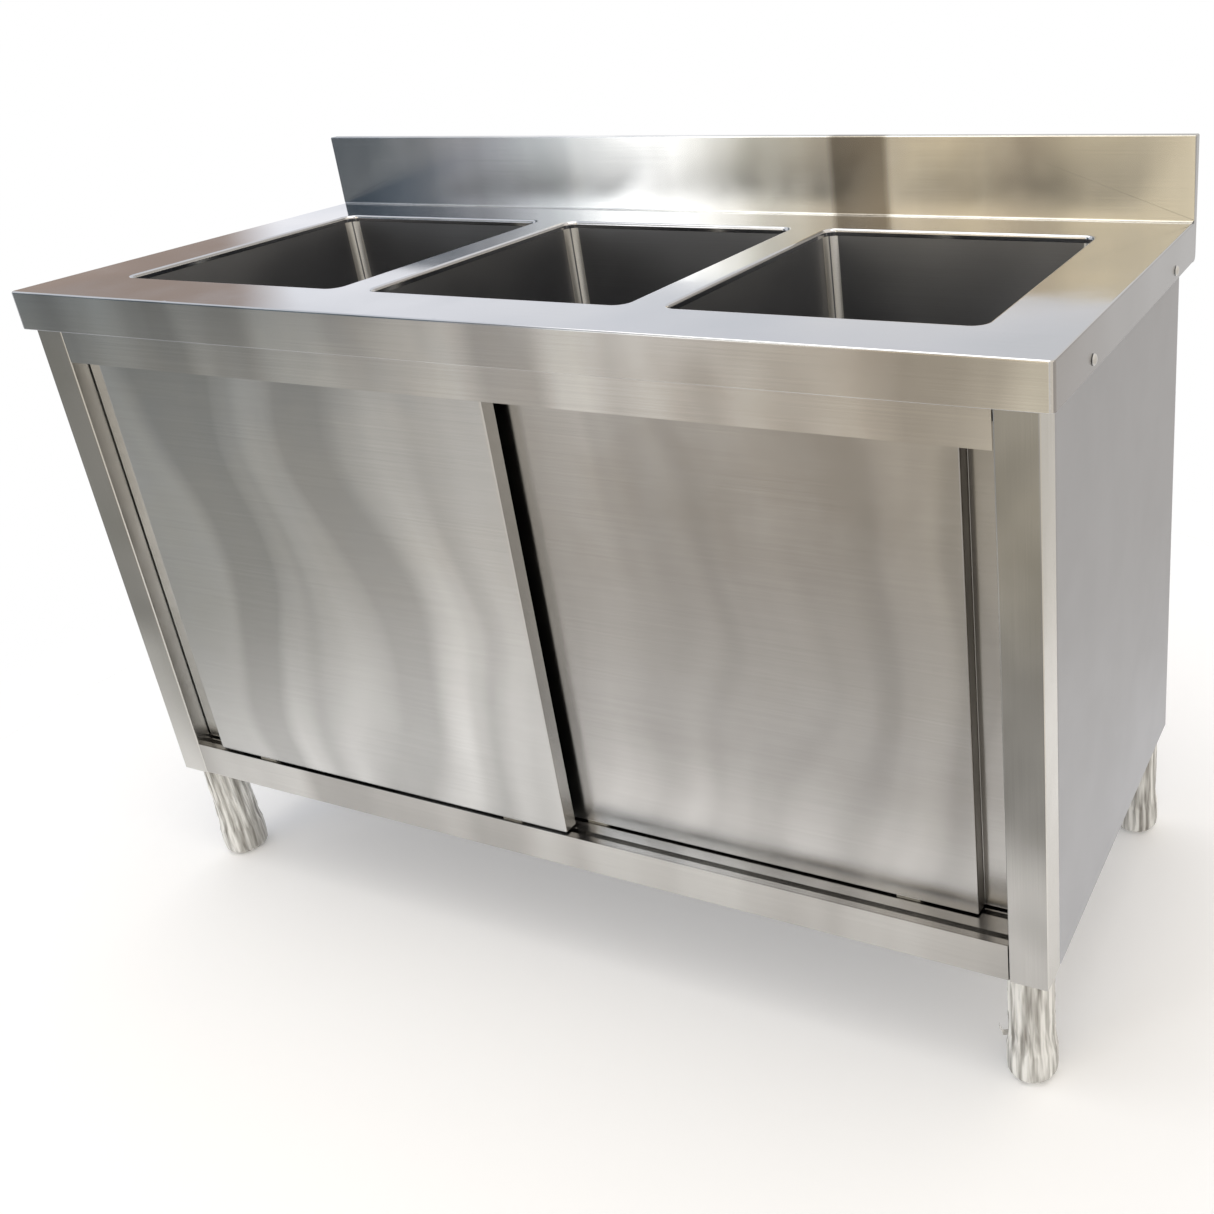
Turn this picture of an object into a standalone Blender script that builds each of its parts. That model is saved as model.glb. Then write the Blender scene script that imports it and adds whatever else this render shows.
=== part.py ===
"""Three-compartment catering sink on a cabinet with two sliding doors.

Metres, +Z up. The origin is on the floor under the centre of the unit, and the front faces -Y.
Folded sheet is drawn as the middle surface of the metal and thickened with Solidify.
"""

import math

import bmesh
import bpy
from mathutils import Matrix, Vector

# ---------------------------------------------------------------- driving dimensions
WIDTH = 1.400
DEPTH = 0.600
WORKTOP_HEIGHT = 0.900
UPSTAND_HEIGHT = 0.105
UPSTAND_THICKNESS = 0.015
APRON_DROP = 0.050
APRON_LIP = 0.005

TOP_SHEET = 0.0015
BODY_SHEET = 0.0012
GAP = 0.0003  # between pieces that touch
SLIP = 0.0005  # between pieces that are pushed together by hand

BOWL_DEPTH = 0.250
BOWL_DIVIDER = 0.0525
BOWL_SIDE_MARGIN = 0.100
BOWL_FRONT_MARGIN = 0.095
BOWL_BACK_MARGIN = 0.105
BOWL_CORNER = 0.015
BOWL_RIM = 0.006
BOWL_LIP = 0.002
BOWL_FLOOR_FILLET = 0.012
BOWL_FLOOR_FALL = 0.004
CORNER_STEPS = 4
RIM_STEPS = 3
FILLET_STEPS = 3

BODY_SIDE_INSET = 0.016
BODY_FRONT_INSET = 0.008
BODY_BACK_INSET = 0.0145
BODY_BOTTOM = 0.163
POST_WIDTH = 0.0465
POST_DEPTH = 0.045
PANEL_FLANGE = 0.012
HEADER_DROP = 0.0935  # worktop surface down to the header's lower edge
SILL_HEIGHT = 0.051
SHELF_RISE = 0.037  # underside of the cabinet up to the top of its floor

DOOR_THICKNESS = 0.020
DOOR_GAP = 0.012  # between the two doors
DOOR_FRONT_GAP = 0.0025  # header to the front door
DOOR_OVERLAP = 0.066
DOOR_TOP_TUCK = 0.0085  # how far a door goes up behind the header
DOOR_BOTTOM_GAP = 0.003
DOOR_SKIN = 0.001
GRIP_WIDTH = 0.045

ROLLER_RADIUS = 0.0115
ROLLER_WIDTH = 0.007
ROLLER_GROOVE_WIDTH = 0.003
ROLLER_GROOVE_DEPTH = 0.002
ROLLER_CLEARANCE = 0.0001  # roller bore round its axle
ROLLER_OFFSET = 0.0007  # roller's middle in front of its door's middle
AXLE_RADIUS = 0.003
AXLE_HEAD_RADIUS = 0.0048
AXLE_HEAD_HEIGHT = 0.0012
HANGER_WIDTH = 0.032
HANGER_ABOVE_AXLE = 0.006
HANGER_PLATE = 0.002
HANGER_INSET = 0.090  # roller to the end of its door
TRACK_FLOOR_CLEARANCE = 0.001  # roller rim to the floor of its track
TRACK_LIP_ABOVE_DOOR = 0.028

GUIDE_LENGTH = 0.030
GUIDE_TONGUE = 0.005
GUIDE_SLOT = 0.008
GUIDE_SLOT_DEPTH = 0.012

LEG_RADIUS = 0.0255
LEG_WALL = 0.0012
LEG_INSET_X = 0.049
LEG_INSET_Y = 0.0445
LEG_PLATE = 0.0025
LEG_PLATE_MARGIN = 0.0055
FOOT_RADIUS = 0.027
FOOT_BASE_RADIUS = 0.019
FOOT_SHOULDER = 0.028
FOOT_HEIGHT = 0.0445
FOOT_STEM_RADIUS = 0.008
FOOT_STEM_LENGTH = 0.070
LEG_PLUG = 0.012

BOLT_RADIUS = 0.003
BOLT_HEAD_RADIUS = 0.0062
BOLT_HEAD_HEIGHT = 0.0035
BOLT_NUT_RADIUS = 0.0058
BOLT_NUT_HEIGHT = 0.005
BOLT_EDGE = 0.013  # bolt to the apron's lower edge
BOLT_FRONT_INSET = 0.126
BOLT_BACK_INSET = 0.112

WASTE_FLANGE_RADIUS = 0.056
WASTE_CUP_RADIUS = 0.042
WASTE_CUP_DEPTH = 0.045
WASTE_TAIL_RADIUS = 0.022
WASTE_TAIL_LENGTH = 0.032
WASTE_WALL = 0.0016
GASKET_THICKNESS = 0.003
WASTE_NUT_RADIUS = 0.058
WASTE_NUT_HEIGHT = 0.012
WASTE_NUT_SIDES = 8
BASKET_WALL = 0.001
BASKET_DEPTH = 0.030
BASKET_KNOB_RADIUS = 0.009

PIPE_RADIUS = 0.025
PIPE_WALL = 0.003
PIPE_SOCKET_HEIGHT = 0.029
PIPE_SOCKET_OVERLAP = 0.020
TRAP_SPIGOT_RADIUS = 0.020
TRAP_RADIUS = 0.036
TRAP_HEIGHT = 0.090
TRAP_CUP_HEIGHT = 0.062
TRAP_DROP = 0.035  # manifold centre line down to the top of the trap
TRAP_ARM_REACH = 0.040
OUTLET_RADIUS = 0.020
OUTLET_HOLE_CLEARANCE = 0.008
WALL_SETBACK = 0.003

ROUND_STEPS = 20
SMALL_STEPS = 16

# ---------------------------------------------------------------- positions that follow
LEFT, RIGHT = -1, 1
FRONT_FACE = -DEPTH / 2
BACK_FACE = DEPTH / 2
UPSTAND_FRONT = BACK_FACE - UPSTAND_THICKNESS
BODY_HALF = WIDTH / 2 - BODY_SIDE_INSET
BODY_FRONT = FRONT_FACE + BODY_FRONT_INSET
BODY_BACK = BACK_FACE - BODY_BACK_INSET
BODY_TOP = WORKTOP_HEIGHT - TOP_SHEET - GAP
OPENING_HALF = BODY_HALF - POST_WIDTH
HEADER_BOTTOM = WORKTOP_HEIGHT - HEADER_DROP
SILL_TOP = BODY_BOTTOM + SILL_HEIGHT
SHELF_TOP = BODY_BOTTOM + SHELF_RISE
BOLT_Z = WORKTOP_HEIGHT - APRON_DROP + BOLT_EDGE

FRONT_DOOR_FACE = BODY_FRONT + SLIP + BODY_SHEET + DOOR_FRONT_GAP
DOOR_PITCH = DOOR_THICKNESS + DOOR_GAP
DOOR_BOTTOM = SILL_TOP + DOOR_BOTTOM_GAP
DOOR_TOP = HEADER_BOTTOM + DOOR_TOP_TUCK
DOOR_CLEARANCE = 0.0025  # door end to its post when shut
DOOR_OUTER_END = OPENING_HALF - DOOR_CLEARANCE
DOOR_FACE_END = DOOR_OUTER_END - GRIP_WIDTH
DOOR_INNER_END = DOOR_OVERLAP / 2
ROLLER_GROOVE_RADIUS = ROLLER_RADIUS - ROLLER_GROOVE_DEPTH
TRACK_LIP = ROLLER_GROOVE_DEPTH + TRACK_FLOOR_CLEARANCE

BOWL_WIDTH = (WIDTH - 2 * BOWL_SIDE_MARGIN - 2 * BOWL_DIVIDER) / 3
BOWL_LENGTH = DEPTH - BOWL_FRONT_MARGIN - BOWL_BACK_MARGIN
BOWL_PITCH = BOWL_WIDTH + BOWL_DIVIDER
BOWL_Y = FRONT_FACE + BOWL_FRONT_MARGIN + BOWL_LENGTH / 2
BOWL_FLOOR = WORKTOP_HEIGHT - BOWL_DEPTH
DRAIN_FLOOR = BOWL_FLOOR - BOWL_FLOOR_FALL
DRAIN_HOLE_RADIUS = WASTE_CUP_RADIUS + 2 * SLIP
BOWL_SIDES = (("left", -BOWL_PITCH), ("middle", 0.0), ("right", BOWL_PITCH))

WASTE_TOP = DRAIN_FLOOR + GAP + WASTE_WALL
WASTE_CUP_BOTTOM = DRAIN_FLOOR - WASTE_CUP_DEPTH
WASTE_BOTTOM = WASTE_CUP_BOTTOM - WASTE_TAIL_LENGTH
PIPE_SOCKET_RADIUS = WASTE_TAIL_RADIUS + SLIP + PIPE_WALL
PIPE_SOCKET_TOP = WASTE_BOTTOM + PIPE_SOCKET_OVERLAP
PIPE_Z = PIPE_SOCKET_TOP - PIPE_SOCKET_HEIGHT - PIPE_RADIUS
TRAP_X = BOWL_PITCH / 2
TRAP_TOP = PIPE_Z - TRAP_DROP
TRAP_BOTTOM = TRAP_TOP - TRAP_HEIGHT
TRAP_ARM_RADIUS = OUTLET_RADIUS + SLIP + PIPE_WALL
OUTLET_Z = TRAP_TOP - 5 * PIPE_WALL - TRAP_ARM_RADIUS

ALONG_X = Matrix(((0, 0, 1, 0), (1, 0, 0, 0), (0, 1, 0, 0), (0, 0, 0, 1)))  # an outline in Y and Z


# ---------------------------------------------------------------- scene, collections, materials
def empty_scene():
    for leftover in list(bpy.data.objects):
        bpy.data.objects.remove(leftover)
    parts = bpy.data.collections.new("three_compartment_sink")
    cutters = bpy.data.collections.new("cutters")
    for collection in (parts, cutters):
        bpy.context.scene.collection.children.link(collection)
    return parts, cutters


PARTS, CUTTERS = empty_scene()


def material(name, colour, metallic, roughness):
    made = bpy.data.materials.new(name)
    made.use_nodes = True
    shader = made.node_tree.nodes["Principled BSDF"]
    shader.inputs["Base Color"].default_value = (*colour, 1)
    shader.inputs["Metallic"].default_value = metallic
    shader.inputs["Roughness"].default_value = roughness
    return made


POLISHED = material("polished_stainless", (0.62, 0.60, 0.56), 1.0, 0.22)
BRUSHED = material("brushed_stainless", (0.56, 0.55, 0.53), 1.0, 0.32)
SATIN = material("satin_side_steel", (0.42, 0.42, 0.43), 1.0, 0.45)
RUBBER = material("black_rubber", (0.03, 0.03, 0.03), 0.0, 0.7)
NYLON = material("white_nylon", (0.80, 0.80, 0.77), 0.0, 0.4)
PLASTIC = material("grey_pipe_plastic", (0.62, 0.63, 0.64), 0.0, 0.35)


# ---------------------------------------------------------------- shape helpers
def add_object(name, mesh, finish, collection=None):
    obj = bpy.data.objects.new(name, mesh)
    (collection or PARTS).objects.link(obj)
    if finish:
        mesh.materials.append(finish)
    return obj


def mesh_from(name, shape):
    mesh = bpy.data.meshes.new(name)
    shape.to_mesh(mesh)
    shape.free()
    return mesh


def box(name, low, high, finish=None, collection=None):
    """A box between two corners, with its origin at its centre."""
    low, high = Vector(low), Vector(high)
    size = high - low
    shape = bmesh.new()
    bmesh.ops.create_cube(shape, size=1, matrix=Matrix.Diagonal((*size, 1)))
    obj = add_object(name, mesh_from(name, shape), finish, collection)
    obj.location = (low + high) / 2
    return obj


def cylinder(name, radius, start, end, finish=None, collection=None, steps=ROUND_STEPS):
    """A round bar from start to end."""
    start, end = Vector(start), Vector(end)
    shape = bmesh.new()
    bmesh.ops.create_cone(
        shape, cap_ends=True, segments=steps, radius1=radius, radius2=radius, depth=(end - start).length
    )
    obj = add_object(name, mesh_from(name, shape), finish, collection)
    obj.location = (start + end) / 2
    obj.rotation_mode = "QUATERNION"
    obj.rotation_quaternion = (end - start).to_track_quat("Z", "Y")
    return obj


def outline_solid(name, points, length, frame, finish=None, collection=None):
    """A closed flat outline given a thickness of length, centred, as a mesh so that it can be cut."""
    curve = bpy.data.curves.new(name, "CURVE")
    curve.dimensions = "2D"
    curve.fill_mode = "BOTH"
    curve.extrude = length / 2
    spline = curve.splines.new("POLY")
    spline.points.add(len(points) - 1)
    for point, (u, v) in zip(spline.points, points):
        point.co = (u, v, 0, 1)
    spline.use_cyclic_u = True
    flat = bpy.data.objects.new(name, curve)
    CUTTERS.objects.link(flat)
    flat.matrix_world = frame
    bpy.context.view_layer.update()
    graph = bpy.context.evaluated_depsgraph_get()
    mesh = bpy.data.meshes.new_from_object(flat.evaluated_get(graph))
    bpy.data.objects.remove(flat)
    shape = bmesh.new()
    shape.from_mesh(mesh)
    bmesh.ops.remove_doubles(shape, verts=shape.verts, dist=1e-6)
    bmesh.ops.recalc_face_normals(shape, faces=shape.faces)
    shape.to_mesh(mesh)
    shape.free()
    obj = add_object(name, mesh, finish, collection)
    obj.matrix_world = frame
    return obj


def folded_sheet(name, points, length, thickness, frame, finish):
    """Sheet metal folded along the middle-surface line points, length wide and centred."""
    shape = bmesh.new()
    line = [shape.verts.new((u, v, -length / 2)) for u, v in points]
    edges = [shape.edges.new(pair) for pair in zip(line, line[1:])]
    swept = bmesh.ops.extrude_edge_only(shape, edges=edges)["geom"]
    moved = [item for item in swept if isinstance(item, bmesh.types.BMVert)]
    bmesh.ops.translate(shape, verts=moved, vec=(0, 0, length))
    obj = add_object(name, mesh_from(name, shape), finish)
    obj.matrix_world = frame
    thicken = obj.modifiers.new("sheet", "SOLIDIFY")
    thicken.thickness = thickness
    thicken.offset = 0
    thicken.use_even_offset = True
    return obj


def turned(name, profile, finish, steps=ROUND_STEPS, closed=True):
    """A shape turned about Z from (radius, height) points that run down its outer side first."""
    mesh = bpy.data.meshes.new(name)
    count = len(profile)
    edges = [(i, (i + 1) % count) for i in range(count if closed else count - 1)]
    mesh.from_pydata([(radius, 0, height) for radius, height in profile], edges, [])
    obj = add_object(name, mesh, finish)
    screw = obj.modifiers.new("turn", "SCREW")
    screw.axis = "Z"
    screw.steps = screw.render_steps = steps
    screw.use_merge_vertices = True
    screw.merge_threshold = 0.0001
    screw.use_smooth_shade = True
    return obj


def boolean(obj, other, operation):
    step = obj.modifiers.new(other.name, "BOOLEAN")
    step.operation = operation
    step.object = other
    step.solver = "EXACT"
    other.hide_render = True
    other.display_type = "WIRE"
    return obj


def cut(obj, cutter):
    return boolean(obj, cutter, "DIFFERENCE")


def join(obj, other):
    return boolean(obj, other, "UNION")


def cutter_box(name, low, high):
    return box(name, low, high, collection=CUTTERS)


def cutter_bar(name, radius, start, end, steps=ROUND_STEPS):
    return cylinder(name, radius, start, end, collection=CUTTERS, steps=steps)


def side_name(side):
    return "left" if side == LEFT else "right"


# ---------------------------------------------------------------- worktop with upstand
def rounded_rectangle(half_x, half_y, radius, centre=(0.0, 0.0)):
    """Corner arcs of a rounded rectangle, anticlockwise, starting at the +X +Y corner."""
    points = []
    for corner, (sign_x, sign_y) in enumerate(((1, 1), (-1, 1), (-1, -1), (1, -1))):
        for step in range(CORNER_STEPS + 1):
            angle = math.pi / 2 * (corner + step / CORNER_STEPS)
            x = sign_x * (half_x - radius) + radius * math.cos(angle)
            y = sign_y * (half_y - radius) + radius * math.sin(angle)
            points.append((centre[0] + x, centre[1] + y))
    return points


def worktop():
    low = WORKTOP_HEIGHT - APRON_DROP
    top = WORKTOP_HEIGHT + UPSTAND_HEIGHT
    outline = [
        (FRONT_FACE, low),
        (FRONT_FACE, WORKTOP_HEIGHT),
        (UPSTAND_FRONT, WORKTOP_HEIGHT),
        (UPSTAND_FRONT, top),
        (BACK_FACE, top),
        (BACK_FACE, low),
    ]
    obj = outline_solid("worktop", outline, WIDTH, ALONG_X, POLISHED)
    sheet = TOP_SHEET
    hollow = [
        (FRONT_FACE + sheet, low + sheet),
        (FRONT_FACE + sheet, WORKTOP_HEIGHT - sheet),
        (UPSTAND_FRONT + sheet, WORKTOP_HEIGHT - sheet),
        (UPSTAND_FRONT + sheet, top - sheet),
        (BACK_FACE - sheet, top - sheet),
        (BACK_FACE - sheet, low + sheet),
    ]
    cut(obj, outline_solid("worktop_hollow", hollow, WIDTH - 2 * sheet, ALONG_X, None, CUTTERS))
    mouth = sheet + APRON_LIP
    cut(
        obj,
        cutter_box(
            "worktop_mouth",
            (-WIDTH / 2 + mouth, FRONT_FACE + mouth, low - sheet),
            (WIDTH / 2 - mouth, BACK_FACE - mouth, low + 2 * sheet),
        ),
    )
    margin = BOWL_RIM + BOWL_LIP + GAP
    for side, x in BOWL_SIDES:
        shape = rounded_rectangle(
            BOWL_WIDTH / 2 + margin, BOWL_LENGTH / 2 + margin, BOWL_CORNER + margin, (x, BOWL_Y)
        )
        frame = Matrix.Translation((0, 0, WORKTOP_HEIGHT))
        cut(obj, outline_solid(f"bowl_cutout_{side}", shape, 4 * sheet, frame, None, CUTTERS))
    for side in (LEFT, RIGHT):
        for end, y in bolt_stations():
            cut(
                obj,
                cutter_bar(
                    f"apron_hole_{end}_{side_name(side)}",
                    BOLT_RADIUS + SLIP,
                    (side * (WIDTH / 2 - 4 * sheet), y, BOLT_Z),
                    (side * (WIDTH / 2 + 4 * sheet), y, BOLT_Z),
                    SMALL_STEPS,
                ),
            )
    return obj


def bolt_stations():
    return ("front", FRONT_FACE + BOLT_FRONT_INSET), ("rear", BACK_FACE - BOLT_BACK_INSET)


# ---------------------------------------------------------------- bowls
def bowl_levels():
    """(offset from the inner wall, height) down the bowl's inner surface, from the rim to the floor."""
    levels = [(BOWL_RIM + BOWL_LIP, WORKTOP_HEIGHT)]
    for step in range(RIM_STEPS + 1):
        angle = math.pi / 2 * step / RIM_STEPS
        levels.append((BOWL_RIM * (1 - math.sin(angle)), WORKTOP_HEIGHT - BOWL_RIM * (1 - math.cos(angle))))
    for step in range(FILLET_STEPS + 1):
        angle = math.pi / 2 * step / FILLET_STEPS
        drop = BOWL_FLOOR_FILLET * math.sin(angle)
        levels.append((-BOWL_FLOOR_FILLET * (1 - math.cos(angle)), BOWL_FLOOR + BOWL_FLOOR_FILLET - drop))
    return levels


def drain_circle(radius):
    """Points on a circle that line up with the corner arcs of rounded_rectangle."""
    count = 4 * (CORNER_STEPS + 1)
    first = math.pi / 4 - math.pi * CORNER_STEPS / count
    angles = (first + 2 * math.pi * i / count for i in range(count))
    return [(radius * math.cos(angle), radius * math.sin(angle)) for angle in angles]


def bowl_mesh():
    """The bowl's inner surface, lofted from its rounded rectangular rim to its round drain hole."""
    rings = []
    for offset, height in bowl_levels():
        corner = BOWL_CORNER + offset
        ring = rounded_rectangle(BOWL_WIDTH / 2 + offset, BOWL_LENGTH / 2 + offset, corner)
        rings.append([(x, y, height) for x, y in ring])
    flat = WASTE_FLANGE_RADIUS + 4 * SLIP
    for radius in (flat, DRAIN_HOLE_RADIUS):
        rings.append([(x, y, DRAIN_FLOOR) for x, y in drain_circle(radius)])
    shape = bmesh.new()
    loops = [[shape.verts.new(point) for point in ring] for ring in rings]
    for upper, lower in zip(loops, loops[1:]):
        for i, vert in enumerate(upper):
            after = (i + 1) % len(upper)
            shape.faces.new((vert, lower[i], lower[after], upper[after]))
    mesh = bpy.data.meshes.new("bowl")
    shape.to_mesh(mesh)
    shape.free()
    mesh.materials.append(BRUSHED)
    mesh.shade_smooth()
    mesh.set_sharp_from_angle(angle=math.radians(35))
    return mesh


def bowls():
    mesh = bowl_mesh()
    for side, x in BOWL_SIDES:
        obj = add_object(f"bowl_{side}", mesh, None)
        obj.location = (x, BOWL_Y, 0)
        wall = obj.modifiers.new("sheet", "SOLIDIFY")
        wall.thickness = BODY_SHEET
        wall.offset = 1
        wall.use_even_offset = True


# ---------------------------------------------------------------- wastes and strainer baskets
def waste_body(side, x):
    cup, wall, tail = WASTE_CUP_RADIUS, WASTE_WALL, WASTE_TAIL_RADIUS
    seat = DRAIN_FLOOR + GAP
    profile = [
        (WASTE_FLANGE_RADIUS, WASTE_TOP),
        (WASTE_FLANGE_RADIUS, seat),
        (cup, seat),
        (cup, WASTE_CUP_BOTTOM),
        (tail, WASTE_CUP_BOTTOM),
        (tail, WASTE_BOTTOM),
        (tail - wall, WASTE_BOTTOM),
        (tail - wall, WASTE_CUP_BOTTOM + wall),
        (cup - wall, WASTE_CUP_BOTTOM + wall),
        (cup - wall, WASTE_TOP),
    ]
    turned(f"waste_body_{side}", profile, POLISHED).location = (x, BOWL_Y, 0)


def waste_gasket(side, x):
    top = DRAIN_FLOOR - BODY_SHEET - GAP
    profile = ring_profile(DRAIN_HOLE_RADIUS, WASTE_FLANGE_RADIUS, top - GASKET_THICKNESS, top)
    turned(f"waste_gasket_{side}", profile, RUBBER).location = (x, BOWL_Y, 0)


def waste_nut(side, x):
    top = DRAIN_FLOOR - BODY_SHEET - 2 * GAP - GASKET_THICKNESS
    low = top - WASTE_NUT_HEIGHT
    start, stop = (x, BOWL_Y, low), (x, BOWL_Y, top)
    nut = cylinder(f"waste_nut_{side}", WASTE_NUT_RADIUS, start, stop, PLASTIC, steps=WASTE_NUT_SIDES)
    start, stop = (x, BOWL_Y, low - WASTE_NUT_HEIGHT), (x, BOWL_Y, top + WASTE_NUT_HEIGHT)
    cut(nut, cutter_bar(f"waste_nut_bore_{side}", WASTE_CUP_RADIUS + SLIP, start, stop))


def strainer_basket(side, x):
    """A lift-out strainer: a shallow cup with a hanging rim and a knob to pull it by."""
    rim = WASTE_CUP_RADIUS - WASTE_WALL - SLIP
    top = WASTE_TOP - 2 * SLIP
    low = top - BASKET_DEPTH
    cup = rim - BASKET_WALL * 4
    knob = BASKET_KNOB_RADIUS
    stalk = knob / 3
    profile = [
        (0, top),
        (knob, top - BASKET_WALL),
        (knob, top - BASKET_WALL * 6),
        (stalk, top - BASKET_WALL * 8),
        (stalk, low + BASKET_WALL),
        (cup - BASKET_WALL, low + BASKET_WALL),
        (cup - BASKET_WALL, top - BASKET_WALL * 4),
        (rim, top - BASKET_WALL * 2),
        (rim, top - BASKET_WALL * 3),
        (cup, top - BASKET_WALL * 5),
        (cup, low),
        (0, low),
    ]
    turned(f"strainer_basket_{side}", profile, BRUSHED, closed=False).location = (x, BOWL_Y, 0)


def ring_profile(inner, outer, low, high):
    return [(outer, high), (outer, low), (inner, low), (inner, high)]


# ---------------------------------------------------------------- drain pipework
def drain_manifold():
    """One moulded pipe under the wastes, with three sockets up and one spigot down to the trap."""
    reach = BOWL_PITCH + PIPE_SOCKET_RADIUS
    y = BOWL_Y
    obj = cylinder("drain_manifold", PIPE_RADIUS, (-reach, y, PIPE_Z), (reach, y, PIPE_Z), PLASTIC)
    for side, x in BOWL_SIDES:
        socket = cutter_bar(f"socket_{side}", PIPE_SOCKET_RADIUS, (x, y, PIPE_Z), (x, y, PIPE_SOCKET_TOP))
        join(obj, socket)
    spigot_low = TRAP_TOP - PIPE_SOCKET_OVERLAP
    join(obj, cutter_bar("spigot", TRAP_SPIGOT_RADIUS, (TRAP_X, y, PIPE_Z), (TRAP_X, y, spigot_low)))
    bore = PIPE_RADIUS - PIPE_WALL
    end = reach - PIPE_WALL
    cut(obj, cutter_bar("manifold_bore", bore, (-end, y, PIPE_Z), (end, y, PIPE_Z)))
    for side, x in BOWL_SIDES:
        stop = (x, y, PIPE_SOCKET_TOP + PIPE_WALL)
        cut(obj, cutter_bar(f"socket_bore_{side}", WASTE_TAIL_RADIUS + SLIP, (x, y, PIPE_Z), stop))
    inside = TRAP_SPIGOT_RADIUS - PIPE_WALL
    cut(obj, cutter_bar("spigot_bore", inside, (TRAP_X, y, PIPE_Z), (TRAP_X, y, spigot_low - PIPE_WALL)))


def bottle_trap():
    """The trap's body with its side outlet, and the cup that unscrews from below."""
    y, wall = BOWL_Y, PIPE_WALL
    neck = TRAP_SPIGOT_RADIUS + SLIP
    shoulder = TRAP_TOP - 2 * wall
    profile = [
        (neck + 2 * wall, TRAP_TOP),
        (neck + 2 * wall, shoulder),
        (TRAP_RADIUS, shoulder - wall),
        (TRAP_RADIUS, TRAP_BOTTOM),
        (TRAP_RADIUS - wall, TRAP_BOTTOM),
        (TRAP_RADIUS - wall, shoulder - 2 * wall),
        (neck, shoulder - 2 * wall),
        (neck, TRAP_TOP),
    ]
    body = turned("trap_body", profile, PLASTIC)
    body.location = (TRAP_X, y, 0)
    arm_end = y + TRAP_RADIUS + TRAP_ARM_REACH

    def along_y(name, radius, start, stop):
        return cutter_bar(name, radius, (TRAP_X, start, OUTLET_Z), (TRAP_X, stop, OUTLET_Z))

    arm_start = y + math.sqrt(TRAP_RADIUS**2 - TRAP_ARM_RADIUS**2) - wall / 2
    join(body, along_y("trap_arm", TRAP_ARM_RADIUS, arm_start, arm_end))
    cut(body, along_y("trap_arm_bore", OUTLET_RADIUS + SLIP, y, arm_end + wall))
    cup_outer = TRAP_RADIUS + SLIP + wall
    cup_top = TRAP_BOTTOM + PIPE_SOCKET_OVERLAP
    cup_low = cup_top - TRAP_CUP_HEIGHT
    cup_profile = [
        (cup_outer, cup_top),
        (cup_outer, cup_low + 2 * wall),
        (cup_outer - 2 * wall, cup_low),
        (0, cup_low),
        (0, cup_low + wall),
        (TRAP_RADIUS - 2 * wall, cup_low + wall),
        (TRAP_RADIUS - wall, cup_low + 2 * wall),
        (TRAP_RADIUS - wall, TRAP_BOTTOM - GAP),
        (TRAP_RADIUS + SLIP, TRAP_BOTTOM - GAP),
        (TRAP_RADIUS + SLIP, cup_top),
    ]
    turned("trap_cup", cup_profile, PLASTIC).location = (TRAP_X, y, 0)
    pipe_start = arm_end - PIPE_SOCKET_OVERLAP
    pipe_end = BACK_FACE - WALL_SETBACK
    start, stop = (TRAP_X, pipe_start, OUTLET_Z), (TRAP_X, pipe_end, OUTLET_Z)
    pipe = cylinder("outlet_pipe", OUTLET_RADIUS, start, stop, PLASTIC)
    cut(pipe, along_y("outlet_bore", OUTLET_RADIUS - wall, pipe_start - wall, pipe_end + wall))


# ---------------------------------------------------------------- cabinet frame and panels
def square_tube(name, low, high):
    post = box(name, low, high, POLISHED)
    wall = Vector((BODY_SHEET, BODY_SHEET, -4 * BODY_SHEET))
    cut(post, cutter_box(f"{name}_bore", Vector(low) + wall, Vector(high) - wall))


def posts():
    rear_outer = BODY_HALF - BODY_SHEET - SLIP
    rear_back = BODY_BACK - BODY_SHEET - SLIP
    rows = (
        ("front", OPENING_HALF, BODY_HALF, BODY_FRONT),
        ("rear", rear_outer - POST_WIDTH, rear_outer, rear_back - POST_DEPTH),
    )
    for side in (LEFT, RIGHT):
        for end, inner, outer, front in rows:
            low_x, high_x = sorted((side * inner, side * outer))
            name = f"post_{end}_{side_name(side)}"
            square_tube(name, (low_x, front, BODY_BOTTOM), (high_x, front + POST_DEPTH, BODY_TOP))


def side_panel(side):
    half = BODY_SHEET / 2
    front = BODY_FRONT + POST_DEPTH + SLIP + half
    back = BODY_BACK - half
    outer = side * (BODY_HALF - half)
    points = [
        (outer - side * PANEL_FLANGE, front),
        (outer, front),
        (outer, back),
        (outer - side * PANEL_FLANGE, back),
    ]
    height = BODY_TOP - BODY_BOTTOM
    frame = Matrix.Translation((0, 0, (BODY_TOP + BODY_BOTTOM) / 2))
    name = side_name(side)
    panel = folded_sheet(f"side_panel_{name}", points, height, BODY_SHEET, frame, SATIN)
    near, far = side * (BODY_HALF - 4 * BODY_SHEET), side * (BODY_HALF + 4 * BODY_SHEET)
    for end, y in bolt_stations():
        start, stop = (near, y, BOLT_Z), (far, y, BOLT_Z)
        cut(panel, cutter_bar(f"panel_hole_{end}_{name}", BOLT_RADIUS + SLIP, start, stop, SMALL_STEPS))


def back_panel():
    half = BODY_HALF - BODY_SHEET / 2 - PANEL_FLANGE - BODY_SHEET
    low, high = (-half, BODY_BACK - BODY_SHEET, BODY_BOTTOM), (half, BODY_BACK, BODY_TOP)
    panel = box("back_panel", low, high, SATIN)
    start = (TRAP_X, BODY_BACK - 4 * BODY_SHEET, OUTLET_Z)
    stop = (TRAP_X, BODY_BACK + 4 * BODY_SHEET, OUTLET_Z)
    cut(panel, cutter_bar("outlet_hole", OUTLET_RADIUS + OUTLET_HOLE_CLEARANCE, start, stop))


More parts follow.
